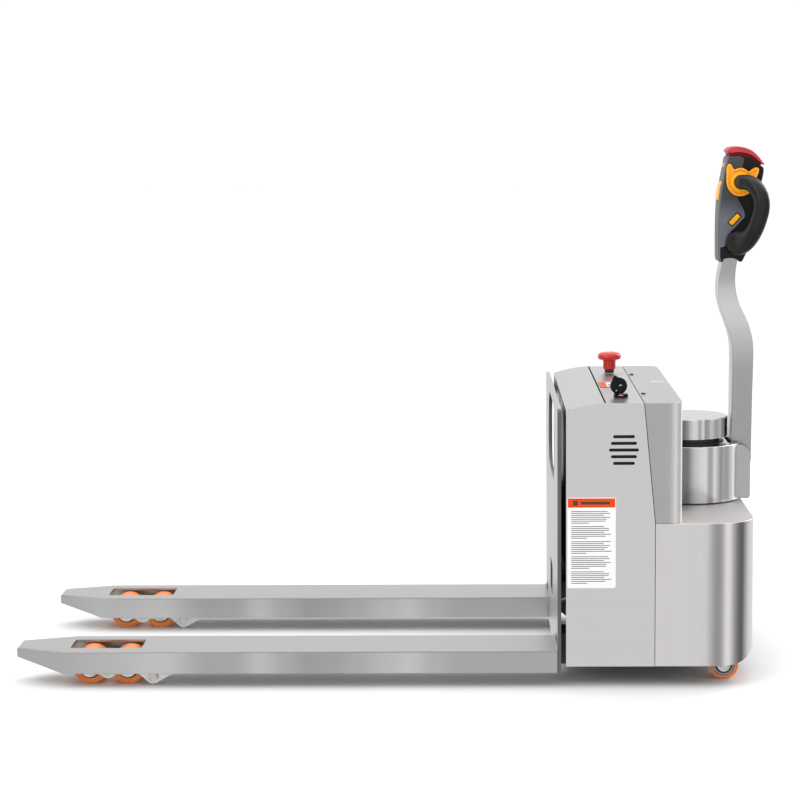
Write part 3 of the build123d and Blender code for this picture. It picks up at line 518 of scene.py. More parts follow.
def lathe(bm, centre, axis, profile, seg=64, mats=None):
    """A closed profile of (radius, height) turned about an axis through centre (mm)."""
    a = Vector(axis).normalized()
    u = a.orthogonal().normalized()
    w = a.cross(u)
    c = Vector(centre)
    cols = []
    for i in range(seg):
        t = 2 * math.pi * i / seg
        d = u * math.cos(t) + w * math.sin(t)
        cols.append([c + a * h + d * r for r, h in profile])
    m = len(profile)
    on_axis = {j for j, (r, h) in enumerate(profile) if r < 1e-6}
    poles = {j: bm.verts.new(cols[0][j] * MM) for j in on_axis}
    vs = [[poles[j] if j in on_axis else bm.verts.new(col[j] * MM) for j in range(m)] for col in cols]
    for i in range(seg):
        k = (i + 1) % seg
        for j in range(m):
            l = (j + 1) % m
            if j in on_axis and l in on_axis:
                continue
            q = [vs[i][j], vs[k][j], vs[k][l], vs[i][l]]
            seen = []
            for v in q:
                if v not in seen:
                    seen.append(v)
            if len(seen) > 2:
                f = bm.faces.new(seen)
                if mats:
                    f.material_index = mats[j]


def catmull(pts, n, closed=False):
    """n points per span on a centripetal-like Catmull-Rom through tuples of any length."""
    out = []
    L = len(pts)
    spans = L if closed else L - 1
    for i in range(spans):
        p = [pts[(i + d) % L] if closed else pts[min(max(i + d, 0), L - 1)] for d in (-1, 0, 1, 2)]
        for j in range(n):
            t = j / n
            out.append(tuple(0.5 * ((2 * b) + (c - a) * t + (2 * a - 5 * b + 4 * c - d) * t * t + (3 * b - a - 3 * c + d) * t ** 3)
                             for a, b, c, d in zip(*p)))
    if not closed:
        out.append(tuple(pts[-1]))
    return out


def lerp_at(table, z):
    """Piecewise smooth value of a (z, value) table, z rising."""
    if z <= table[0][0]:
        return table[0][1]
    if z >= table[-1][0]:
        return table[-1][1]
    for (a, va), (b, vb) in zip(table, table[1:]):
        if a <= z <= b:
            return va + (vb - va) * (z - a) / (b - a)


def sstep(a, b, x):
    t = min(1.0, max(0.0, (x - a) / (b - a)))
    return t * t * (3 - 2 * t)


def boxed(bm, x0, x1, y0, y1, z0, z1, mat=0, rot=None, at=None):
    vs = []
    for x in (x0, x1):
        for y in (y0, y1):
            for z in (z0, z1):
                p = Vector((x, y, z))
                if rot is not None:
                    p = rot @ p + at
                vs.append(bm.verts.new(p * MM))
    for q in ((0, 1, 3, 2), (4, 6, 7, 5), (0, 4, 5, 1), (2, 3, 7, 6), (0, 2, 6, 4), (1, 5, 7, 3)):
        bm.faces.new([vs[i] for i in q]).material_index = mat


def softened(node, width, mat=None, segs=2, angle=30.0, clamp=True):
    """The CAD node with its sheet edges eased; stands for the node."""
    src = N[node]
    bm = bmesh.new()
    bm.from_mesh(src.data)
    bmesh.ops.remove_doubles(bm, verts=bm.verts, dist=2e-6)
    bmesh.ops.dissolve_limit(bm, angle_limit=math.radians(0.5), verts=bm.verts, edges=bm.edges)
    me = bpy.data.meshes.new(node + "_shell")
    for f in bm.faces:
        f.smooth = True
    bm.to_mesh(me)
    bm.free()
    ob = bpy.data.objects.new(node + "_shell", me)
    sc.collection.objects.link(ob)
    me.materials.append(M[mat or NODE_MAT[node]])
    md = ob.modifiers.new("ease", "BEVEL")
    md.width = width * MM
    md.segments = segs
    md.limit_method = "ANGLE"
    md.angle_limit = math.radians(angle)
    md.use_clamp_overlap = clamp
    md.harden_normals = False
    md.miter_outer = "MITER_ARC"
    wn_ = ob.modifiers.new("even", "WEIGHTED_NORMAL")
    wn_.mode = "FACE_AREA"
    wn_.weight = 100
    wn_.keep_sharp = True
    baked(ob)
    ob.data.validate()
    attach(ob, BODY[node])
    SLOT.get(node, "stainless_sheet")
    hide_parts(node)
    return ob


# ------------------------------------------------------------------ camera, floor and light
cam_d = bpy.data.cameras.new("camera")
cam = bpy.data.objects.new("camera", cam_d)
sc.collection.objects.link(cam)
sc.camera = cam
cam_d.sensor_width = 36.0
cam_d.lens = 2309.0 / 800.0 * 36.0
cam_d.clip_start, cam_d.clip_end = 0.1, 200.0
yaw, pitch, roll = math.radians(-1.703), math.radians(7.281), math.radians(-0.524)
fwd = Vector((math.sin(yaw) * math.cos(pitch), math.cos(yaw) * math.cos(pitch), -math.sin(pitch)))
right = Vector((math.cos(yaw), -math.sin(yaw), 0))
up = right.cross(fwd)
r2 = right * math.cos(roll) + up * math.sin(roll)
u2 = -right * math.sin(roll) + up * math.cos(roll)
mat4 = Matrix((r2, u2, -fwd)).transposed().to_4x4()
mat4.translation = Vector((0.157, -5.097, 1.221))
cam.matrix_world = mat4

fb = bmesh.new()
S = 30.0
fb.faces.new([fb.verts.new(v) for v in ((-S, -S, 0), (S, -S, 0), (S, S, 0), (-S, S, 0))])
k = Mat("floor_paper")
fn = k.noise(3.0, 3.0, 0.5)
k.color(k.mix(k.span(fn, 0.3, 0.7, 0.0, 1.0), (0.875, 0.875, 0.875, 1), (0.89, 0.89, 0.89, 1)))
k.roughness(k.span(fn, 0.3, 0.7, 0.75, 0.85))
k.setv(spec=0.15)
M["floor"] = k.m
floor = finish_mesh("studio_floor", fb, ["floor"], None)
floor.location.z = LO0.z - 0.0002
floor.visible_glossy = False


def area(name, loc, target, size, power, color=(1, 1, 1), size_y=None, spread=180):
    d = bpy.data.lights.new(name, "AREA")
    d.energy = power
    d.color = color
    d.shape = "RECTANGLE"
    d.size = size
    d.size_y = size_y or size
    o = bpy.data.objects.new(name, d)
    sc.collection.objects.link(o)
    o.location = loc
    o.rotation_mode = "QUATERNION"
    o.rotation_quaternion = (Vector(target) - Vector(loc)).to_track_quat("-Z", "Y")
    return o


area("key_softbox", (-2.4, -2.6, 3.4), (0.2, 0, 0.4), 2.4, 40)
area("top_softbox", (0.2, 0.6, 3.8), (0.1, 0, 0.3), 3.4, 22)
area("fill_softbox", (3.0, -2.4, 1.9), (0.5, 0, 0.6), 1.6, 14).visible_glossy = False
area("rim_strip", (2.6, 1.6, 2.2), (0.7, 0, 0.9), 0.6, 20, size_y=2.0)

w = bpy.data.worlds.new("studio")
sc.world = w
w.use_nodes = True
wt = w.node_tree
wt.nodes.clear()


def wn(kind, **kw):
    n = wt.nodes.new(kind)
    for a, v in kw.items():
        setattr(n, a, v)
    return n


wo = wn("ShaderNodeOutputWorld")
wb = wn("ShaderNodeBackground")
wc = wn("ShaderNodeBackground")
wc.inputs[0].default_value = (1, 1, 1, 1)
wc.inputs[1].default_value = 1.02
wm = wn("ShaderNodeMixShader")
lp = wn("ShaderNodeLightPath")
wtc = wn("ShaderNodeTexCoord")
ws = wn("ShaderNodeSeparateXYZ")
wt.links.new(wtc.outputs["Generated"], ws.inputs[0])
# azimuth from -Y (0) by +X (0.25) and +Y (0.5) to -X (0.75)
neg = wn("ShaderNodeMath", operation="MULTIPLY")
neg.inputs[1].default_value = -1
wt.links.new(ws.outputs[1], neg.inputs[0])
at = wn("ShaderNodeMath", operation="ARCTAN2")
wt.links.new(ws.outputs[0], at.inputs[0])
wt.links.new(neg.outputs[0], at.inputs[1])
mr = wn("ShaderNodeMapRange")
mr.clamp = False
for kk, vv in (("From Min", 0.0), ("From Max", 2 * math.pi), ("To Min", 0.0), ("To Max", 1.0)):
    mr.inputs[kk].default_value = vv
wt.links.new(at.outputs[0], mr.inputs["Value"])
fr = wn("ShaderNodeMath", operation="WRAP")
fr.inputs[1].default_value = 1.0
fr.inputs[2].default_value = 0.0
wt.links.new(mr.outputs[0], fr.inputs[0])
rp = wn("ShaderNodeValToRGB")
cr = rp.color_ramp
cr.interpolation = "EASE"
BANDS = [(0.0, 0.98), (36, 1.0), (50, 1.02), (59, 0.78), (70, 0.50), (80, 0.34), (90, 0.30), (103, 0.55), (119, 1.0), (141, 1.02),
         (180, 1.0), (225, 1.0), (248, 1.05), (262, 0.55), (278, 0.42), (296, 0.95), (330, 0.97), (360, 0.98)]
while len(cr.elements) < len(BANDS):
    cr.elements.new(0.5)
for e, (d, v) in zip(cr.elements, BANDS):
    e.position = d / 360.0
    e.color = (v, v, v, 1)
wt.links.new(fr.outputs[0], rp.inputs[0])
# paler overhead and a shade darker far below
el = wn("ShaderNodeMapRange")
for kk, vv in (("From Min", 0.35), ("From Max", 0.85), ("To Min", 0.0), ("To Max", 1.0)):
    el.inputs[kk].default_value = vv
wt.links.new(ws.outputs[2], el.inputs["Value"])
m1 = wn("ShaderNodeMix", data_type="RGBA")
m1.inputs[7].default_value = (1.34, 1.34, 1.34, 1)
wt.links.new(el.outputs[0], m1.inputs[0])
wt.links.new(rp.outputs[0], m1.inputs[6])
dn = wn("ShaderNodeMapRange")
for kk, vv in (("From Min", -0.45), ("From Max", -0.9), ("To Min", 0.0), ("To Max", 1.0)):
    dn.inputs[kk].default_value = vv
wt.links.new(ws.outputs[2], dn.inputs["Value"])
m2 = wn("ShaderNodeMix", data_type="RGBA")
m2.inputs[7].default_value = (0.42, 0.42, 0.42, 1)
wt.links.new(dn.outputs[0], m2.inputs[0])
wt.links.new(m1.outputs[2], m2.inputs[6])
wt.links.new(m2.outputs[2], wb.inputs[0])
wb.inputs[1].default_value = 1.0
wt.links.new(lp.outputs["Is Camera Ray"], wm.inputs[0])
wt.links.new(wb.outputs[0], wm.inputs[1])
wt.links.new(wc.outputs[0], wm.inputs[2])
wt.links.new(wm.outputs[0], wo.inputs[0])


# ------------------------------------------------------------------ sheet metal with eased edges
for n, wd in (("side_cover_left", 0.7), ("side_cover_right", 0.7), ("front_lid", 0.8), ("control_panel", 0.8), ("rear_hood", 0.8),
              ("rear_skirt", 0.6), ("backrest", 1.0), ("fork_left", 1.2), ("fork_right", 1.2), ("tiller_arm", 1.8),
              ("tiller_base", 0.8), ("motor_cap", 0.8)):
    softened(n, wd)

# ------------------------------------------------------------------ tiller head
FRONTZ = [(873.6, 706.8), (882, 704.9), (886, 704.5), (933, 704.1), (975, 704.7), (1007.7, 706.1), (1036.6, 710), (1078, 718), (1099, 722.0), (1104, 723.4)]
REARZ = [(873.6, 757.6), (893, 767), (935, 778), (975, 786), (1008, 791), (1035, 796), (1058, 801.0), (1070, 803.0), (1077, 803.0), (1082, 800), (1089.5, 792), (1100, 777.5), (1102.3, 769), (1104, 760)]
BOUND = [(873.6, 708.6), (906, 708.6), (908.8, 720.0), (926.1, 723.1), (939.1, 730.1), (966.2, 756.2), (970.5, 760.3), (974.8, 762.1), (983, 760.6), (991, 757.5),
         (999.6, 753), (1008, 748.6), (1020, 745.6), (1040, 747.5), (1060, 751.5), (1080.7, 756.1), (1100.1, 760.2), (1104, 748)]
BOUND = [(z0, sum(wt_ * lerp_at(BOUND, z0 + d) for d, wt_ in ((-4, 1), (-2, 2), (0, 3), (2, 2), (4, 1))) / 9) if z0 > 914 else (z0, lerp_at(BOUND, z0))
         for z0 in [873.6 + 1.0 * i for i in range(231)]]
BF = (751.5, 1048.0)


def head_side(x, z, slate):
    """Half width of the head at a point of its side."""
    w0 = 37.6 if slate else 35.4
    r = math.hypot(x - BF[0], z - BF[1])
    dish = 1.0 - sstep(33.0, 50.0, r)
    bulge = math.exp(-(((x - 734.0) / 26.0) ** 2 + ((z - 972.0) / 34.0) ** 2))
    return w0 - 1.4 * dish + (3.0 * bulge if slate else 0.0) + (0.0 if slate else 1.2 * math.exp(-(((x - 780) / 14) ** 2 + ((z - 1000) / 50) ** 2)))


zs = [873.6, 874.2, 875.2, 876.8, 879]
z = 881.0
while z < 1099:
    zs.append(z)
    z += 1.6
zs += [1099.0, 1100.6, 1102.0, 1103.1, 1103.8, 1104.0]
NA, NB, NC, NF = 26, 16, 5, 12
rings, cols_mat = [], None
for z in zs:
    xf, xr, xb = lerp_at(FRONTZ, z), lerp_at(REARZ, z), lerp_at(BOUND, z)
    end = min(1.0, min(z - 873.6, 1104 - z) / 3.0)
    inset = 3.0 * (1 - math.sqrt(max(0.0, 1 - (1 - end) ** 2)))
    xf, xr = xf + inset, xr - inset
    xb = min(max(xb, xf + 4.6), xr - 9.5)
    rf, rr = 3.2, 8.0
    side = []
    wf = head_side(xf + rf, z, True) - inset
    for i in range(NC):                       # front corner
        t = math.pi / 2 * i / NC
        side.append((xf + rf - rf * math.cos(t), wf - rf + rf * math.sin(t)))
    for i in range(NA):                       # slate side
        x = xf + rf + (xb - 0.5 - xf - rf) * i / (NA - 1)
        side.append((x, head_side(x, z, True) - inset))
    ws1, ws0 = side[-1][1], head_side(xb + 0.6, z, False) - inset
    side.append((xb - 0.12, ws1 - 0.14))      # rounded step
    side.append((xb + 0.0, ws1 - 0.5))
    side.append((xb + 0.05, ws0 + 0.1))
    side.append((xb + 0.45, ws0))
    for i in range(1, NB):
        x = xb + 0.45 + (xr - rr - xb - 0.45) * i / (NB - 1)
        side.append((x, head_side(x, z, False) - inset))
    wr = side[-1][1]
    for i in range(1, NC + 1):                # rear corner
        t = math.pi / 2 * i / NC
        side.append((xr - rr + rr * math.sin(t), wr - rr + rr * math.cos(t)))
    front_w, rear_w = side[0][1], side[-1][1]
    loop = [(x, -y, z) for x, y in side]
    loop += [(xr + 1.2 * (1 - (2 * i / NF - 1) ** 2) * end, -rear_w + 2 * rear_w * i / NF, z) for i in range(1, NF)]
    loop += [(x, y, z) for x, y in side[::-1]]
    loop += [(xf - 0.0, front_w - 2 * front_w * i / NF, z) for i in range(1, NF)]
    rings.append(loop)
    ns = len(side)
SLATE_COLS = NC + NA + 2


def head_mat(i, j):
    n = len(rings[0])
    # index 2 is the painted lit front strip
    if j < NC or j >= n - NF - NC + 1:
        return 2
    if j < SLATE_COLS:
        return 0
    if j < ns + NF - 1 + (ns - SLATE_COLS) - 1:
        return 1
    return 0


bm = bmesh.new()
loft(bm, rings, (True, True), head_mat)
head = finish_mesh("tiller_head", bm, ["slate", "black", "slate_painted_lit_front"], None, sharp=50)


def cutter(build):
    b = bmesh.new()
    build(b)
    ob = finish_mesh("cutter", b, ["black"], None, smooth=False)
    ob.data.materials.clear()
    ob.data.materials.append(M["slate"])
    ob.data.materials.append(M["black"])
    ob.data.materials.append(M["slate_painted_lit_front"])
    for p in ob.data.polygons:
        p.material_index = 1
    return ob


def rot_y(deg):
    return Matrix.Rotation(math.radians(deg), 3, "Y")


A1 = math.degrees(math.atan2(8.0, 41.4))
cuts = [
    cutter(lambda b: boxed(b, -8, 16, -24.3, 24.3, -20.8, 20.8, rot=rot_y(A1), at=Vector((711.0, 0, 1028.5)))),
    cutter(lambda b: boxed(b, -9, 13, -8.3, 8.3, -5.3, 5.3, rot=rot_y(10.6), at=Vector((720.6, 0, 1084.0)))),
    cutter(lambda b: boxed(b, -7.4, 6.8, -8, 12, -15.8, 15.8, rot=rot_y(43), at=Vector((739.5, -39, 967.0)))),
    cutter(lambda b: boxed(b, 736.5, 757.5, -15.5, 15.5, 1084, 1112)),
    cutter(lambda b: loft(b, [[(712, y, 870), (752.6, y, 870), (752.6, y, 883), (748, y, 888.5), (738, y, 892.4), (726, y, 893.1), (716, y, 891), (712, y, 886)]
                             for y in (-33.2, 33.2)])),
    cutter(lambda b: loft(b, [[(712, y, 866), (752.6, y, 866), (752.6, y, 874), (748, y, 878.8), (738, y, 882.2), (728, y, 882.8), (720, y, 881.4), (714, y, 878.5), (712, y, 874)]
                             for y in (-46, 46)])),
    cutter(lambda b: loft(b, [[(725.4, y, 1095.8), (748, y, 1095.6), (758, y, 1092.6), (768, y, 1087.4), (778, y, 1080.2), (786, y, 1073.2), (789.5, y, 1069.6), (806, y, 1084), (792, y, 1108), (764, y, 1126), (727, y, 1126)]
                             for y in (-33.6, 33.6)])),
]
for i, c in enumerate(cuts):
    md = head.modifiers.new("cut%d" % i, "BOOLEAN")
    md.operation = "DIFFERENCE"
    md.solver = "EXACT"
    md.object = c
baked(head)
for c in cuts:
    bpy.data.objects.remove(c)
hb = bmesh.new()
hb.from_mesh(head.data)
bmesh.ops.remove_doubles(hb, verts=hb.verts, dist=1e-7)
for e in hb.edges:
    e.smooth = not (len(e.link_faces) == 2 and e.calc_face_angle(0.0) > math.radians(48))
hb.to_mesh(head.data)
hb.free()
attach(head, "tiller")
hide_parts("head_housing")

# grips: one swept loop each side, round at the neck and flattened to a blade at the lower root
GRIP = [(751.5, 1048.0, 39.4, 13.8, 13.8), (751.5, 1048.0, 47.9, 13.8, 13.8), (751.9, 1048.2, 49.6, 15.3, 15.3), (752.8, 1048.4, 53.0, 16.4, 16.2),
        (757.5, 1048.6, 64.5, 16.8, 16.3), (765.1, 1047.4, 75.0, 16.9, 16.3), (774.6, 1042.6, 86.5, 16.8, 16.2), (783.2, 1034.6, 95.5, 16.6, 16.0),
        (790.5, 1021.0, 102.6, 16.5, 15.8), (793.4, 1006.0, 106.6, 16.5, 15.6), (793.0, 990.0, 107.0, 16.5, 15.6), (788.6, 970.5, 103.6, 16.5, 15.8),
        (781.0, 950.0, 96.5, 16.3, 16.4), (771.0, 934.0, 86.0, 15.8, 18.6), (760.4, 922.5, 73.0, 14.8, 22.4), (749.4, 916.8, 58.6, 13.6, 26.0),
        (739.0, 916.6, 47.6, 12.6, 25.6), (733.0, 919.0, 41.0, 12.0, 22.0), (729.5, 920.5, 36.4, 11.4, 19.0)]


def make_grip(side, s):
    st = catmull([(x - 3.9 * sstep(764, 790, x), s * y, z, a, b) for x, z, y, a, b in GRIP], 6)
    P = Vector((0.82, -0.57 * s * -1.0, 0)).normalized() if s > 0 else Vector((0.82, 0.57, 0)).normalized()
    P = Vector((0.82, -s * 0.57, 0)).normalized()
    b = bmesh.new()
    rg = []
    for i, (x, y, z, a1, a2) in enumerate(st):
        q0, q1 = st[max(0, i - 1)], st[min(len(st) - 1, i + 1)]
        T = (Vector(q1[:3]) - Vector(q0[:3])).normalized()
        if i <= 6:
            T = Vector((0, s, 0))
        e1 = (P - T * P.dot(T)).normalized()
        e2 = T.cross(e1).normalized()
        f = sstep(8, 30, i)
        ex = 2.0 + 0.45 * f
        ring = []
        for j in range(40):
            t = 2 * math.pi * j / 40
            c, q = math.cos(t), math.sin(t)
            cu = math.copysign(abs(c) ** (2 / ex), c)
            qu = math.copysign(abs(q) ** (2 / ex), q)
            ring.append(tuple(Vector((x, y, z)) + e1 * a1 * cu + e2 * a2 * qu))
        rg.append(ring)
    loft(b, rg)
    ob = finish_mesh("grip_loop_" + side, b, ["grip"], "tiller", sharp=60)
    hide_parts("handle_grip_" + side)
    return ob


make_grip("left", -1)
make_grip("right", 1)

# butterfly wings: a rim, dished lobes and a boss round the neck, in relief, with painted shade on the low faces
WING = [(720.6, 1052), (720.7, 1066), (721.4, 1079), (723.8, 1085.5), (727.9, 1088.0), (731.0, 1085.2), (734.2, 1079.9), (737.2, 1075.8), (742.5, 1076.8),
        (749, 1078.7), (756, 1078.3), (762.5, 1075.2), (768.6, 1070.9), (774.5, 1074.6), (781.5, 1078.7), (787.3, 1079.0), (790.6, 1075.6),
        (790.0, 1069.5), (787.0, 1061), (783.6, 1052), (782.0, 1042), (778.5, 1033), (772, 1025.6), (763.3, 1020.4), (756, 1018.0), (748, 1017.4),
        (739, 1019.8), (731.5, 1024.8), (725.5, 1032.4), (722.0, 1041.5)]


def seg_dist(p, a, b):
    ax, ay = b[0] - a[0], b[1] - a[1]
    t = max(0.0, min(1.0, ((p[0] - a[0]) * ax + (p[1] - a[1]) * ay) / (ax * ax + ay * ay + 1e-12)))
    return math.hypot(p[0] - a[0] - ax * t, p[1] - a[1] - ay * t)


def inside(p, poly):
    r = False
    for (x0, y0), (x1, y1) in zip(poly, poly[1:] + poly[:1]):
        if (y0 > p[1]) != (y1 > p[1]) and p[0] < (x1 - x0) * (p[1] - y0) / (y1 - y0) + x0:
            r = not r
    return r


wing_o = catmull(WING, 5, True)
wing_h = [(BF[0] + 14.1 * math.cos(2 * math.pi * i / 56), BF[1] + 14.1 * math.sin(2 * math.pi * i / 56)) for i in range(56)]


def wing_height(p):
    d = min(seg_dist(p, a, b) for a, b in zip(wing_o, wing_o[1:] + wing_o[:1]))
    r = math.hypot(p[0] - BF[0], p[1] - BF[1])
    rim = 2.7 * math.sqrt(max(0.0, min(1.0, d / 1.3))) if d < 1.3 else 2.7 - 2.5 * sstep(2.0, 6.5, d)
    if r < 15.1:
        boss = 3.4 * math.sqrt(max(0.0, min(1.0, (r - 14.1) / 1.0))) * 0.4 + 2.0
    else:
        boss = 3.4 - 3.2 * sstep(17.2, 23.0, r)
    floor_ = 0.2 + 0.5 * sstep(6, 12, d)
    top = max(rim, boss, floor_)
    return min(top, 3.6)


pts2 = [Vector(p) for p in wing_o] + [Vector(p) for p in wing_h]
no, nh = len(wing_o), len(wing_h)
edges2 = [(i, (i + 1) % no) for i in range(no)] + [(no + i, no + (i + 1) % nh) for i in range(nh)]
gx = 719.0
row = 0
while gx < 793:
    gz = 1016.0 + (0.6 if row % 2 else 0.0)
    while gz < 1090:
        p = (gx, gz)
        if inside(p, wing_o) and math.hypot(gx - BF[0], gz - BF[1]) > 14.8:
            if min(seg_dist(p, a, b) for a, b in zip(wing_o, wing_o[1:] + wing_o[:1])) > 0.6:
                pts2.append(Vector(p))
        gz += 1.2
    gx += 1.05
    row += 1
v2, e2_, f2, _, _, _ = delaunay_2d_cdt(pts2, edges2, [], 1, 1e-6)
tri = []
for f in f2:
    c = sum((v2[i] for i in f), Vector((0, 0))) / len(f)
    if inside((c.x, c.y), wing_o) and math.hypot(c.x - BF[0], c.y - BF[1]) > 14.05:
        tri.append(list(f))
hts = [wing_height((v.x, v.y)) for v in v2]
b = bmesh.new()
for s in (-1, 1):
    top = [b.verts.new(Vector((v.x, s * (43.3 + h), v.y)) * MM) for v, h in zip(v2, hts)]
    bot = [b.verts.new(Vector((v.x, s * 39.6, v.y)) * MM) for v in v2]
    count = {}
    for f in tri:
        # faces lower than 1.5 mm take the painted shade yellow
        b.faces.new([top[i] for i in f]).material_index = 1 if sum(hts[i] for i in f) / len(f) < 1.5 else 0
        b.faces.new([bot[i] for i in f[::-1]])
        for i, j in zip(f, f[1:] + f[:1]):
            count[frozenset((i, j))] = count.get(frozenset((i, j)), []) + [(i, j)]
    for es in count.values():
        if len(es) == 1:
            i, j = es[0]
            b.faces.new((top[j], top[i], bot[i], bot[j]))
loose = [v for v in b.verts if not v.link_faces]
bmesh.ops.delete(b, geom=loose, context="VERTS")
wings = finish_mesh("butterfly_wings", b, ["yellow", "yellow_painted_shade"], "throttle", sharp=46)
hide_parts("throttle_butterfly")

# belly button: a curved pad over a darker skirt, and its stem
CAPP = [(721.2, 1112.6), (723.2, 1117.4), (727.6, 1121.7), (735.0, 1124.0), (748.6, 1124.8), (763.5, 1122.0), (778.5, 1115.0), (791.1, 1103.4), (799.5, 1092.6), (804.2, 1085.8)]


def pad(bm, prof, half, thick, sink, r, mat, ends, tail=0.0):
    st = catmull(prof, 6)
    rg = []
    L = len(st)
    for i, (x, z) in enumerate(st):
        q0, q1 = st[max(0, i - 1)], st[min(L - 1, i + 1)]
        t = Vector((q1[0] - q0[0], 0, q1[1] - q0[1])).normalized()
        nrm = Vector((-t.z, 0, t.x))
        if nrm.z < 0:
            nrm = -nrm
        e = min(i, L - 1 - i) / ends
        k = math.sqrt(max(0.0, 1 - (1 - min(1.0, e)) ** 2))
        hw = half - 5.5 * (1 - k)
        th = (2.6 + (thick - 2.6) * k) * (1 - tail * sstep(0.45, 1.0, i / (L - 1)))
        c = Vector((x, 0, z)) - nrm * sink
        ring = []
        for j in range(9):
            y = -hw + r + (2 * hw - 2 * r) * j / 8
            ring.append(c + Vector((0, y, 0)) + nrm * (0.4 * (1 - (y / hw) ** 2) - 0.4))
        for j in range(1, 6):
            a = math.pi / 2 * j / 5
            ring.append(c + Vector((0, hw - r + r * math.sin(a), 0)) - nrm * (min(r, th * 0.8) * (1 - math.cos(a)) + 0.3 * j / 5))
        ring.append(c + Vector((0, hw - 0.3, 0)) - nrm * th)
        for j in range(5):
            y = hw - 1.5 - (2 * hw - 3) * j / 4
            ring.append(c + Vector((0, y, 0)) - nrm * th)
        ring.append(c + Vector((0, -hw + 0.3, 0)) - nrm * th)
        for j in range(5, 0, -1):
            a = math.pi / 2 * j / 5
            ring.append(c + Vector((0, -hw + r - r * math.sin(a), 0)) - nrm * (min(r, th * 0.8) * (1 - math.cos(a)) + 0.3 * j / 5))
        rg.append([tuple(p) for p in ring])
    loft(bm, rg, (True, True), lambda i, j: mat)
    return st


b = bmesh.new()
pad(b, CAPP, 36.0, 12.0, 0.0, 4.5, 0, 7, 0.62)
pad(b, [(724.6, 1112.0), (735, 1114.0), (748.6, 1114.5), (762, 1112.0), (775.0, 1105.6), (787, 1096.0), (797.5, 1085.0)], 33.0, 12.4, 0.0, 1.0, 1, 1, 0.30)
boxed(b, 738, 756, -14, 14, 1090, 1110, 1)
belly = finish_mesh("belly_button_pad", b, ["red", "red_dark"], "belly_button", sharp=40)
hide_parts("belly_button")


def bar_button(name, node, body, size, rot, at, mat, bow, ribs, axis):
    """A rounded key with a crowned face and shallow finger ribs, in the pocket of its CAD node."""
    b = bmesh.new()
    nx, ny = 28, 14
    L, W, T = size
    rg = []
    for i in range(nx + 1):
        u = -1 + 2 * i / nx
        ring = []
        endr = min(1.0, (1 - abs(u)) * L / 2 / 1.6)
        k = math.sqrt(max(0.0, 1 - (1 - endr) ** 2))
        for j in range(ny + 1):
            v = -1 + 2 * j / ny
            er = min(1.0, (1 - abs(v)) * W / 2 / 1.4)
            kk = math.sqrt(max(0.0, 1 - (1 - er) ** 2))
            h = T / 2 - bow * u * u - 1.5 * (1 - k) - 1.3 * (1 - kk)
            if ribs:
                h -= 0.35 * (0.5 + 0.5 * math.cos(u * math.pi * ribs)) * (1 - abs(u) ** 6)
            ring.append(Vector((u * L / 2, v * W / 2, h)))
        ring.append(Vector((u * L / 2, W / 2, -T / 2)))
        ring.append(Vector((u * L / 2, -W / 2, -T / 2)))
        rg.append(ring)
    R = rot
    loft(b, [[tuple(R @ p + at) for p in r] for r in rg])
    ob = finish_mesh(name, b, [mat], body, sharp=55)
    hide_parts(node)
    return ob


# length axis, width axis, outward axis of each key as columns
RL = Matrix(((0, 0, -1), (0, 1, 0), (1, 0, 0)))
bar_button("lift_key", "lift_button", "lift_button", (41, 48, 12), rot_y(A1) @ RL, Vector((711.0, 0, 1028.5)), "amber", 1.4, 3, "x")
bar_button("horn_key", "horn_button", "horn_button", (10, 16, 9), rot_y(10.6) @ RL, Vector((721.5, 0, 1084.0)), "yellow", 0.5, 0, "x")
RS = Matrix(((0, 1, 0), (0, 0, -1), (1, 0, 0)))
bar_button("side_key", "side_button_left", "side_button", (27, 10, 8), rot_y(43) @ RS, Vector((739.5, -38.0, 967.0)), "yellow", 1.0, 4, "y")

# ------------------------------------------------------------------ controls on the panel
EX, EY = 482.6, 200.3
b = bmesh.new()
prof = [(0.0, 653.6), (6, 653.5), (14, 652.9), (20, 651.6), (24, 649.4), (26.2, 646.4), (27.0, 642.6), (26.6, 639.4), (25.2, 637.2), (22.5, 636.0),
        (16.2, 635.6), (15.2, 634.0), (14.5, 631.5), (14.4, 616), (14.1, 614.4), (13.6, 614.0), (11.4, 614.0), (11.4, 628), (5, 628), (5, 585), (0.0, 585)]
lathe(b, (EX, EY, 0), (0, 0, 1), prof, 72)
for i in range(3):                                   # arrow-free twist ridges on the dome
    a0 = math.radians(30 + 120 * i)
    rg = []
    for j in range(13):
        a = a0 + math.radians(60) * j / 12
        hgt = 0.7 * math.sin(math.pi * j / 12)
        c, s_ = math.cos(a), math.sin(a)
        zt = 652.2
        rg.append([(EX + c * 15.0, EY + s_ * 15.0, zt - 0.6), (EX + c * 15.6, EY + s_ * 15.6, zt + hgt), (EX + c * 18.0, EY + s_ * 18.0, zt - 0.5 + hgt), (EX + c * 18.8, EY + s_ * 18.8, zt - 1.6)])
    loft(b, rg)
knob = finish_mesh("stop_mushroom", b, ["stop"], "estop_knob", sharp=40)
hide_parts("estop_knob")

b = bmesh.new()
lathe(b, (EX, EY, 0), (0, 0, 1), [(11.6, 604.02), (13.6, 604.02), (14.0, 604.5), (13.5, 605.2), (12.7, 605.5), (11.6, 605.5)], 64)
finish_mesh("stop_ring_nut", b, ["zinc"], "chassis")

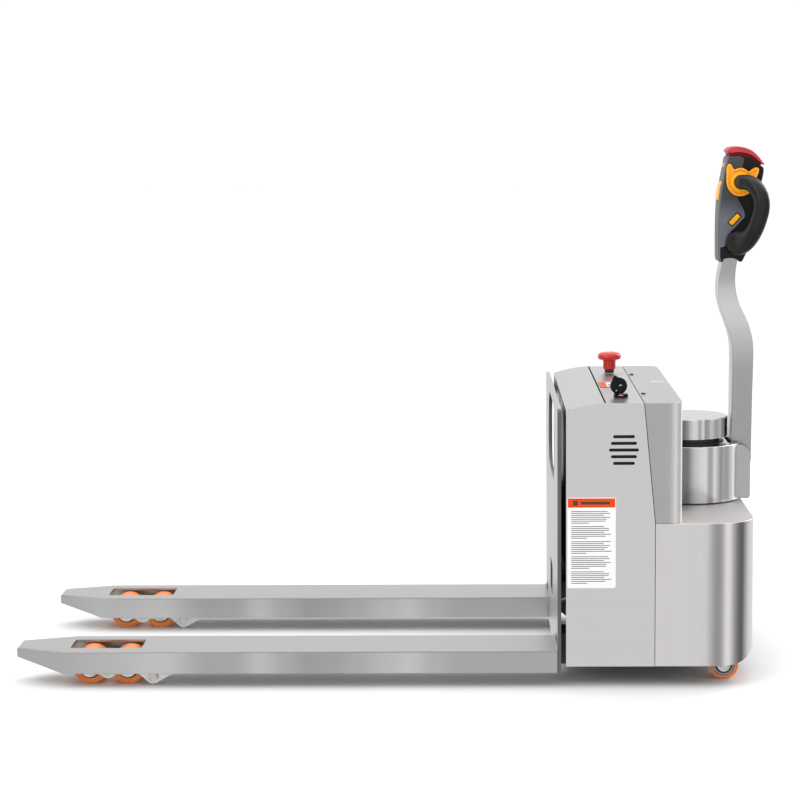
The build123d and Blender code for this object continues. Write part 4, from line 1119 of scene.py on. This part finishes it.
KX, KY = 480.0, -239.5
b = bmesh.new()
seg = 64
bow = []
for r, y in ((0.0, -2.1), (9.0, -2.3), (12.5, -2.9), (15.5, -3.0), (17.2, -2.6), (17.9, -1.4), (17.9, 1.4), (17.2, 2.6), (15.5, 3.0), (12.5, 2.9), (9.0, 2.3), (0.0, 2.1)):
    bow.append((r, y))
lathe(b, (KX - 4.5, KY, 628), (0, 1, 0), bow, seg)
nub = [[(KX - 19.0, y, 636), (KX - 17.7, y, 644), (KX - 15.9, y, 649), (KX - 13.0, y, 650.4), (KX - 9.5, y, 648.9), (KX - 1.5, y, 643.8), (KX - 7.5, y, 634)] for y in (KY - 2.2, KY + 2.2)]
loft(b, nub)
boxed(b, KX - 4.5, KX + 4.5, KY - 1.6, KY + 1.6, 608, 620)
boxed(b, KX - 4, KX + 4, KY - 1, KY + 1, 596, 609)
for x_, z_, ln, dg in ((477.9, 629.2, 2.4, -52), (481.0, 629.6, 1.5, 60), (470.2, 618.0, 1.9, -52)):   # painted highlight: bright zinc marks on the bow where its glints fall
    boxed(b, -ln, ln, -0.5, 0.6, -0.75, 0.75, 1, rot=rot_y(dg), at=Vector((x_, KY - 2.7, z_)))
keyo = finish_mesh("key_fob", b, ["key", "zinc"], "key", sharp=40)
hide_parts("key")

b = bmesh.new()                                        # hex bezel of the key switch with a red index dot
ring = []
for i in range(6):
    a = math.radians(60 * i)
    ring.append((math.cos(a) * 15.4, math.sin(a) * 15.4))
loft(b, [[(KX + x, KY + y, 604.02) for x, y in ring], [(KX + x, KY + y, 607.6) for x, y in ring], [(KX + x * 0.86, KY + y * 0.86, 609.2) for x, y in ring]], (True, True), lambda i, j: 0)
bez = finish_mesh("key_bezel", b, ["key"], "chassis")
b = bmesh.new()
lathe(b, (KX - 0.6, KY - 11.6, 0), (0, 0, 1), [(0, 608.0), (3.8, 608.0), (4.4, 610.0), (3.6, 612.6), (0, 613.4)], 32)
lathe(b, (KX - 0.6, KY - 11.6, 0), (0, 0, 1), [(4.3, 608.6), (6.0, 608.6), (6.2, 609.6), (5.6, 610.2), (4.8, 610.2), (4.3, 609.6)], 32, [1, 1, 1, 1, 1, 1])
finish_mesh("key_index_dot", b, ["stop", "zinc"], "chassis")


def flat_label(name, corners, z, mats, parts, body="chassis", t=0.25):
    """Printed film on the top: a base with patches of other inks."""
    b = bmesh.new()
    x0, x1, y0, y1 = corners
    boxed(b, x0, x1, y0, y1, z, z + t, 0)
    for k_, (px0, px1, py0, py1, mi) in enumerate(parts):
        boxed(b, px0, px1, py0, py1, z + t, z + t + 0.06, mi)
    return finish_mesh(name, b, mats, body, smooth=False)


flat_label("indicator_film", (446.6, 483.4, -71.4, 15.4), 605.0, ["label_lilac", "label_orange", "label_dark"],
           [(447.2, 461.5, -70.8, 14.8, 1), (466, 479, -60, -52, 2), (466, 479, -46, -38, 2), (466, 479, -32, -24, 2)])
flat_label("panel_mark_rear", (503.5, 519, 214, 240), 604.0, ["label_pink"], [(506, 517, 218, 236, 0)])
flat_label("hood_mark", (563.5, 591.5, 16, 40), 604.0, ["label_pink"], [(566, 589, 19, 37, 0)])


def socket_screw(x, y, z, r=5.2, h=2.8, body="chassis", name="screw"):
    b = bmesh.new()
    lathe(b, (x, y, 0), (0, 0, 1), [(0, z + h - 1.6), (2.2, z + h - 1.6), (2.4, z + h), (r - 1.4, z + h), (r - 0.3, z + h - 0.7), (r, z + 0.8), (r, z), (0, z)], 36)
    return finish_mesh(name, b, ["screw"], body)


socket_screw(530.6, 158.3, 604.0, name="hood_screw_right")
socket_screw(531.0, -192.7, 604.0, name="hood_screw_left")

# ------------------------------------------------------------------ wheel centres
for s, sy in (("left", -1), ("right", 1)):
    yc = sy * 267.5
    for nm, dx in (("front", -40.5), ("rear", 40.5)):
        b = bmesh.new()
        for t in (-1, 1):
            pr = [(10.3, 33.0), (10.3, 34.9), (13.6, 35.0), (14.0, 34.5), (14.3, 34.15), (18.6, 34.15), (18.9, 34.5), (19.3, 34.8), (24.0, 34.8), (24.4, 34.4), (24.4, 33.0)]
            lathe(b, (-612 + dx, yc, 37), (0, t, 0), pr, 56, [0, 0, 0, 1, 1, 1, 0, 1, 1, 1, 1])
        finish_mesh("roller_core_%s_%s" % (nm, s), b, ["bearing", "seal"], "roller_%s_%s" % (nm, s), sharp=30)
    yc = sy * 248.0
    b = bmesh.new()
    for t in (-1, 1):
        pr = [(6.3, 23.0), (6.3, 25.2), (9.0, 25.3), (9.4, 24.8), (9.6, 24.4), (12.2, 24.4), (12.5, 24.9), (15.6, 25.0), (16.2, 24.6), (16.6, 24.2), (20.4, 24.2), (20.9, 24.6),
              (22.4, 24.9), (24.0, 25.0), (24.4, 24.4), (25.4, 24.3), (25.8, 25.0), (27.6, 25.1), (28.0, 24.6), (28.0, 23.0)]
        mi = [0, 0, 0, 1, 1, 1, 0, 0, 1, 1, 1, 0, 0, 1, 1, 0, 0, 0, 0, 0]
        lathe(b, (698, yc, 32), (0, t, 0), [(r * 0.88, h) for r, h in pr], 72, mi)
    finish_mesh("castor_hub_" + s, b, ["hub", "seal"], "castor_wheel_" + s, sharp=30)
    b = bmesh.new()
    for t in (-1, 1):                                 # hexagon nuts on the axle ends
        ring = [(math.cos(math.radians(60 * i + 10)) * 8.6, math.sin(math.radians(60 * i + 10)) * 8.6) for i in range(6)]
        loft(b, [[(698 + x, yc + t * 32.0, 32 + z) for x, z in ring], [(698 + x, yc + t * 36.6, 32 + z) for x, z in ring],
                 [(698 + x * 0.84, yc + t * 37.8, 32 + z * 0.84) for x, z in ring]])
    finish_mesh("castor_nuts_" + s, b, ["zinc"], "castor_fork_" + s, sharp=25)


# ------------------------------------------------------------------ weld beads
def bead(bm, path, r, seed, closed=False):
    """A rippled bead along straight runs (mm)."""
    pts = []
    for a, c in zip(path, path[1:]):
        a, c = Vector(a), Vector(c)
        n = max(2, int((c - a).length / 1.5))
        pts += [a.lerp(c, i / n) for i in range(n)]
    pts.append(Vector(path[-1]))
    rg = []
    for i, p in enumerate(pts):
        T = (pts[min(i + 1, len(pts) - 1)] - pts[max(i - 1, 0)]).normalized()
        e1 = T.orthogonal().normalized() if abs(T.x) > 0.9 else T.cross(Vector((1, 0, 0))).normalized()
        e2 = T.cross(e1)
        ph = i * 1.5 / 3.2
        rr = r * (0.86 + 0.12 * abs(math.sin(math.pi * ph)) + 0.10 * noise.noise(Vector((p.x * 0.08 + seed, p.y * 0.08, p.z * 0.08))))
        if i in (0, len(pts) - 1):
            rr *= 0.35
        rg.append([tuple(p + e1 * rr * math.cos(2 * math.pi * j / 10) + e2 * rr * math.sin(2 * math.pi * j / 10)) for j in range(10)])
    loft(bm, rg)


b = bmesh.new()
for s in (-1, 1):
    yc = s * 267.5
    bead(b, [(341.6, yc - 69, 80.2), (341.6, yc + 69, 80.2)], 3.0, 1.3 + s)
    a = yc + s * 74.2
    bead(b, [(341.6, a - s * 1.6, 36), (341.6, a - s * 1.6, 74)], 1.5, 4.7 + s)
    bead(b, [(341.6, yc - s * 75.4, 36), (341.6, yc - s * 75.4, 76)], 2.8, 7.7 + s)
finish_mesh("fork_root_welds", b, ["weld"], "fork_frame", sharp=60)
b = bmesh.new()
for y in (-43.5, 43.5):
    bead(b, [(351, y, 402), (351, y, 438)], 2.4, y)
bead(b, [(351, -46, 461), (351, 46, 461)], 2.4, 3.3)
finish_mesh("lift_bracket_welds", b, ["weld"], "fork_frame", sharp=60)

# ------------------------------------------------------------------ side decal, generic
b = bmesh.new()
YD = -342.5
X0, X1, Z0, Z1 = 362.5, 463.5, 214.0, 406.0


def film(x0, x1, z0, z1, t0, t1, mi):
    boxed(b, x0, x1, YD - t1, YD - t0, z0, z1, mi)


def rounded(x0, x1, z0, z1, r, t0, t1, mi):
    o = []
    for cx_, cz_, a0 in ((x1 - r, z1 - r, 0), (x0 + r, z1 - r, 90), (x0 + r, z0 + r, 180), (x1 - r, z0 + r, 270)):
        for j in range(7):
            a = math.radians(a0 + 15 * j)
            o.append((cx_ + r * math.cos(a), cz_ + r * math.sin(a)))
    loft(b, [[(x, YD - t0, z) for x, z in o], [(x, YD - t1, z) for x, z in o]], (True, True), lambda i, j: mi)
    for f in b.faces[-2:] if hasattr(b.faces, "__getitem__") else []:
        f.material_index = mi


b.faces.ensure_lookup_table()
rounded(X0, X1, Z0, Z1, 4.0, -0.05, 0.10, 0)
b.faces.ensure_lookup_table()
for f in b.faces:
    f.material_index = 0
film(X0 + 1.2, X1 - 1.2, Z1 - 21.0, Z1 - 1.6, 0.10, 0.13, 1)
film(X0 + 12, X0 + 22, Z1 - 16.5, Z1 - 6.5, 0.13, 0.15, 3)
film(X0 + 28, X1 - 12, Z1 - 14.5, Z1 - 8.5, 0.13, 0.15, 3)
zz = Z1 - 30.0
rowi = 0
while zz > Z0 + 6:
    ln = 68 + 16 * (0.5 + 0.5 * math.sin(rowi * 2.399))
    if rowi % 7 == 6:
        ln *= 0.45
    film(X0 + 8, X0 + 8 + ln, zz, zz + 1.7, 0.10, 0.13, 2)
    zz -= 4.1 if rowi % 7 != 6 else 7.4
    rowi += 1
finish_mesh("side_panel_film", b, ["label", "label_orange", "label_grey", "label_dark"], "chassis", smooth=False)
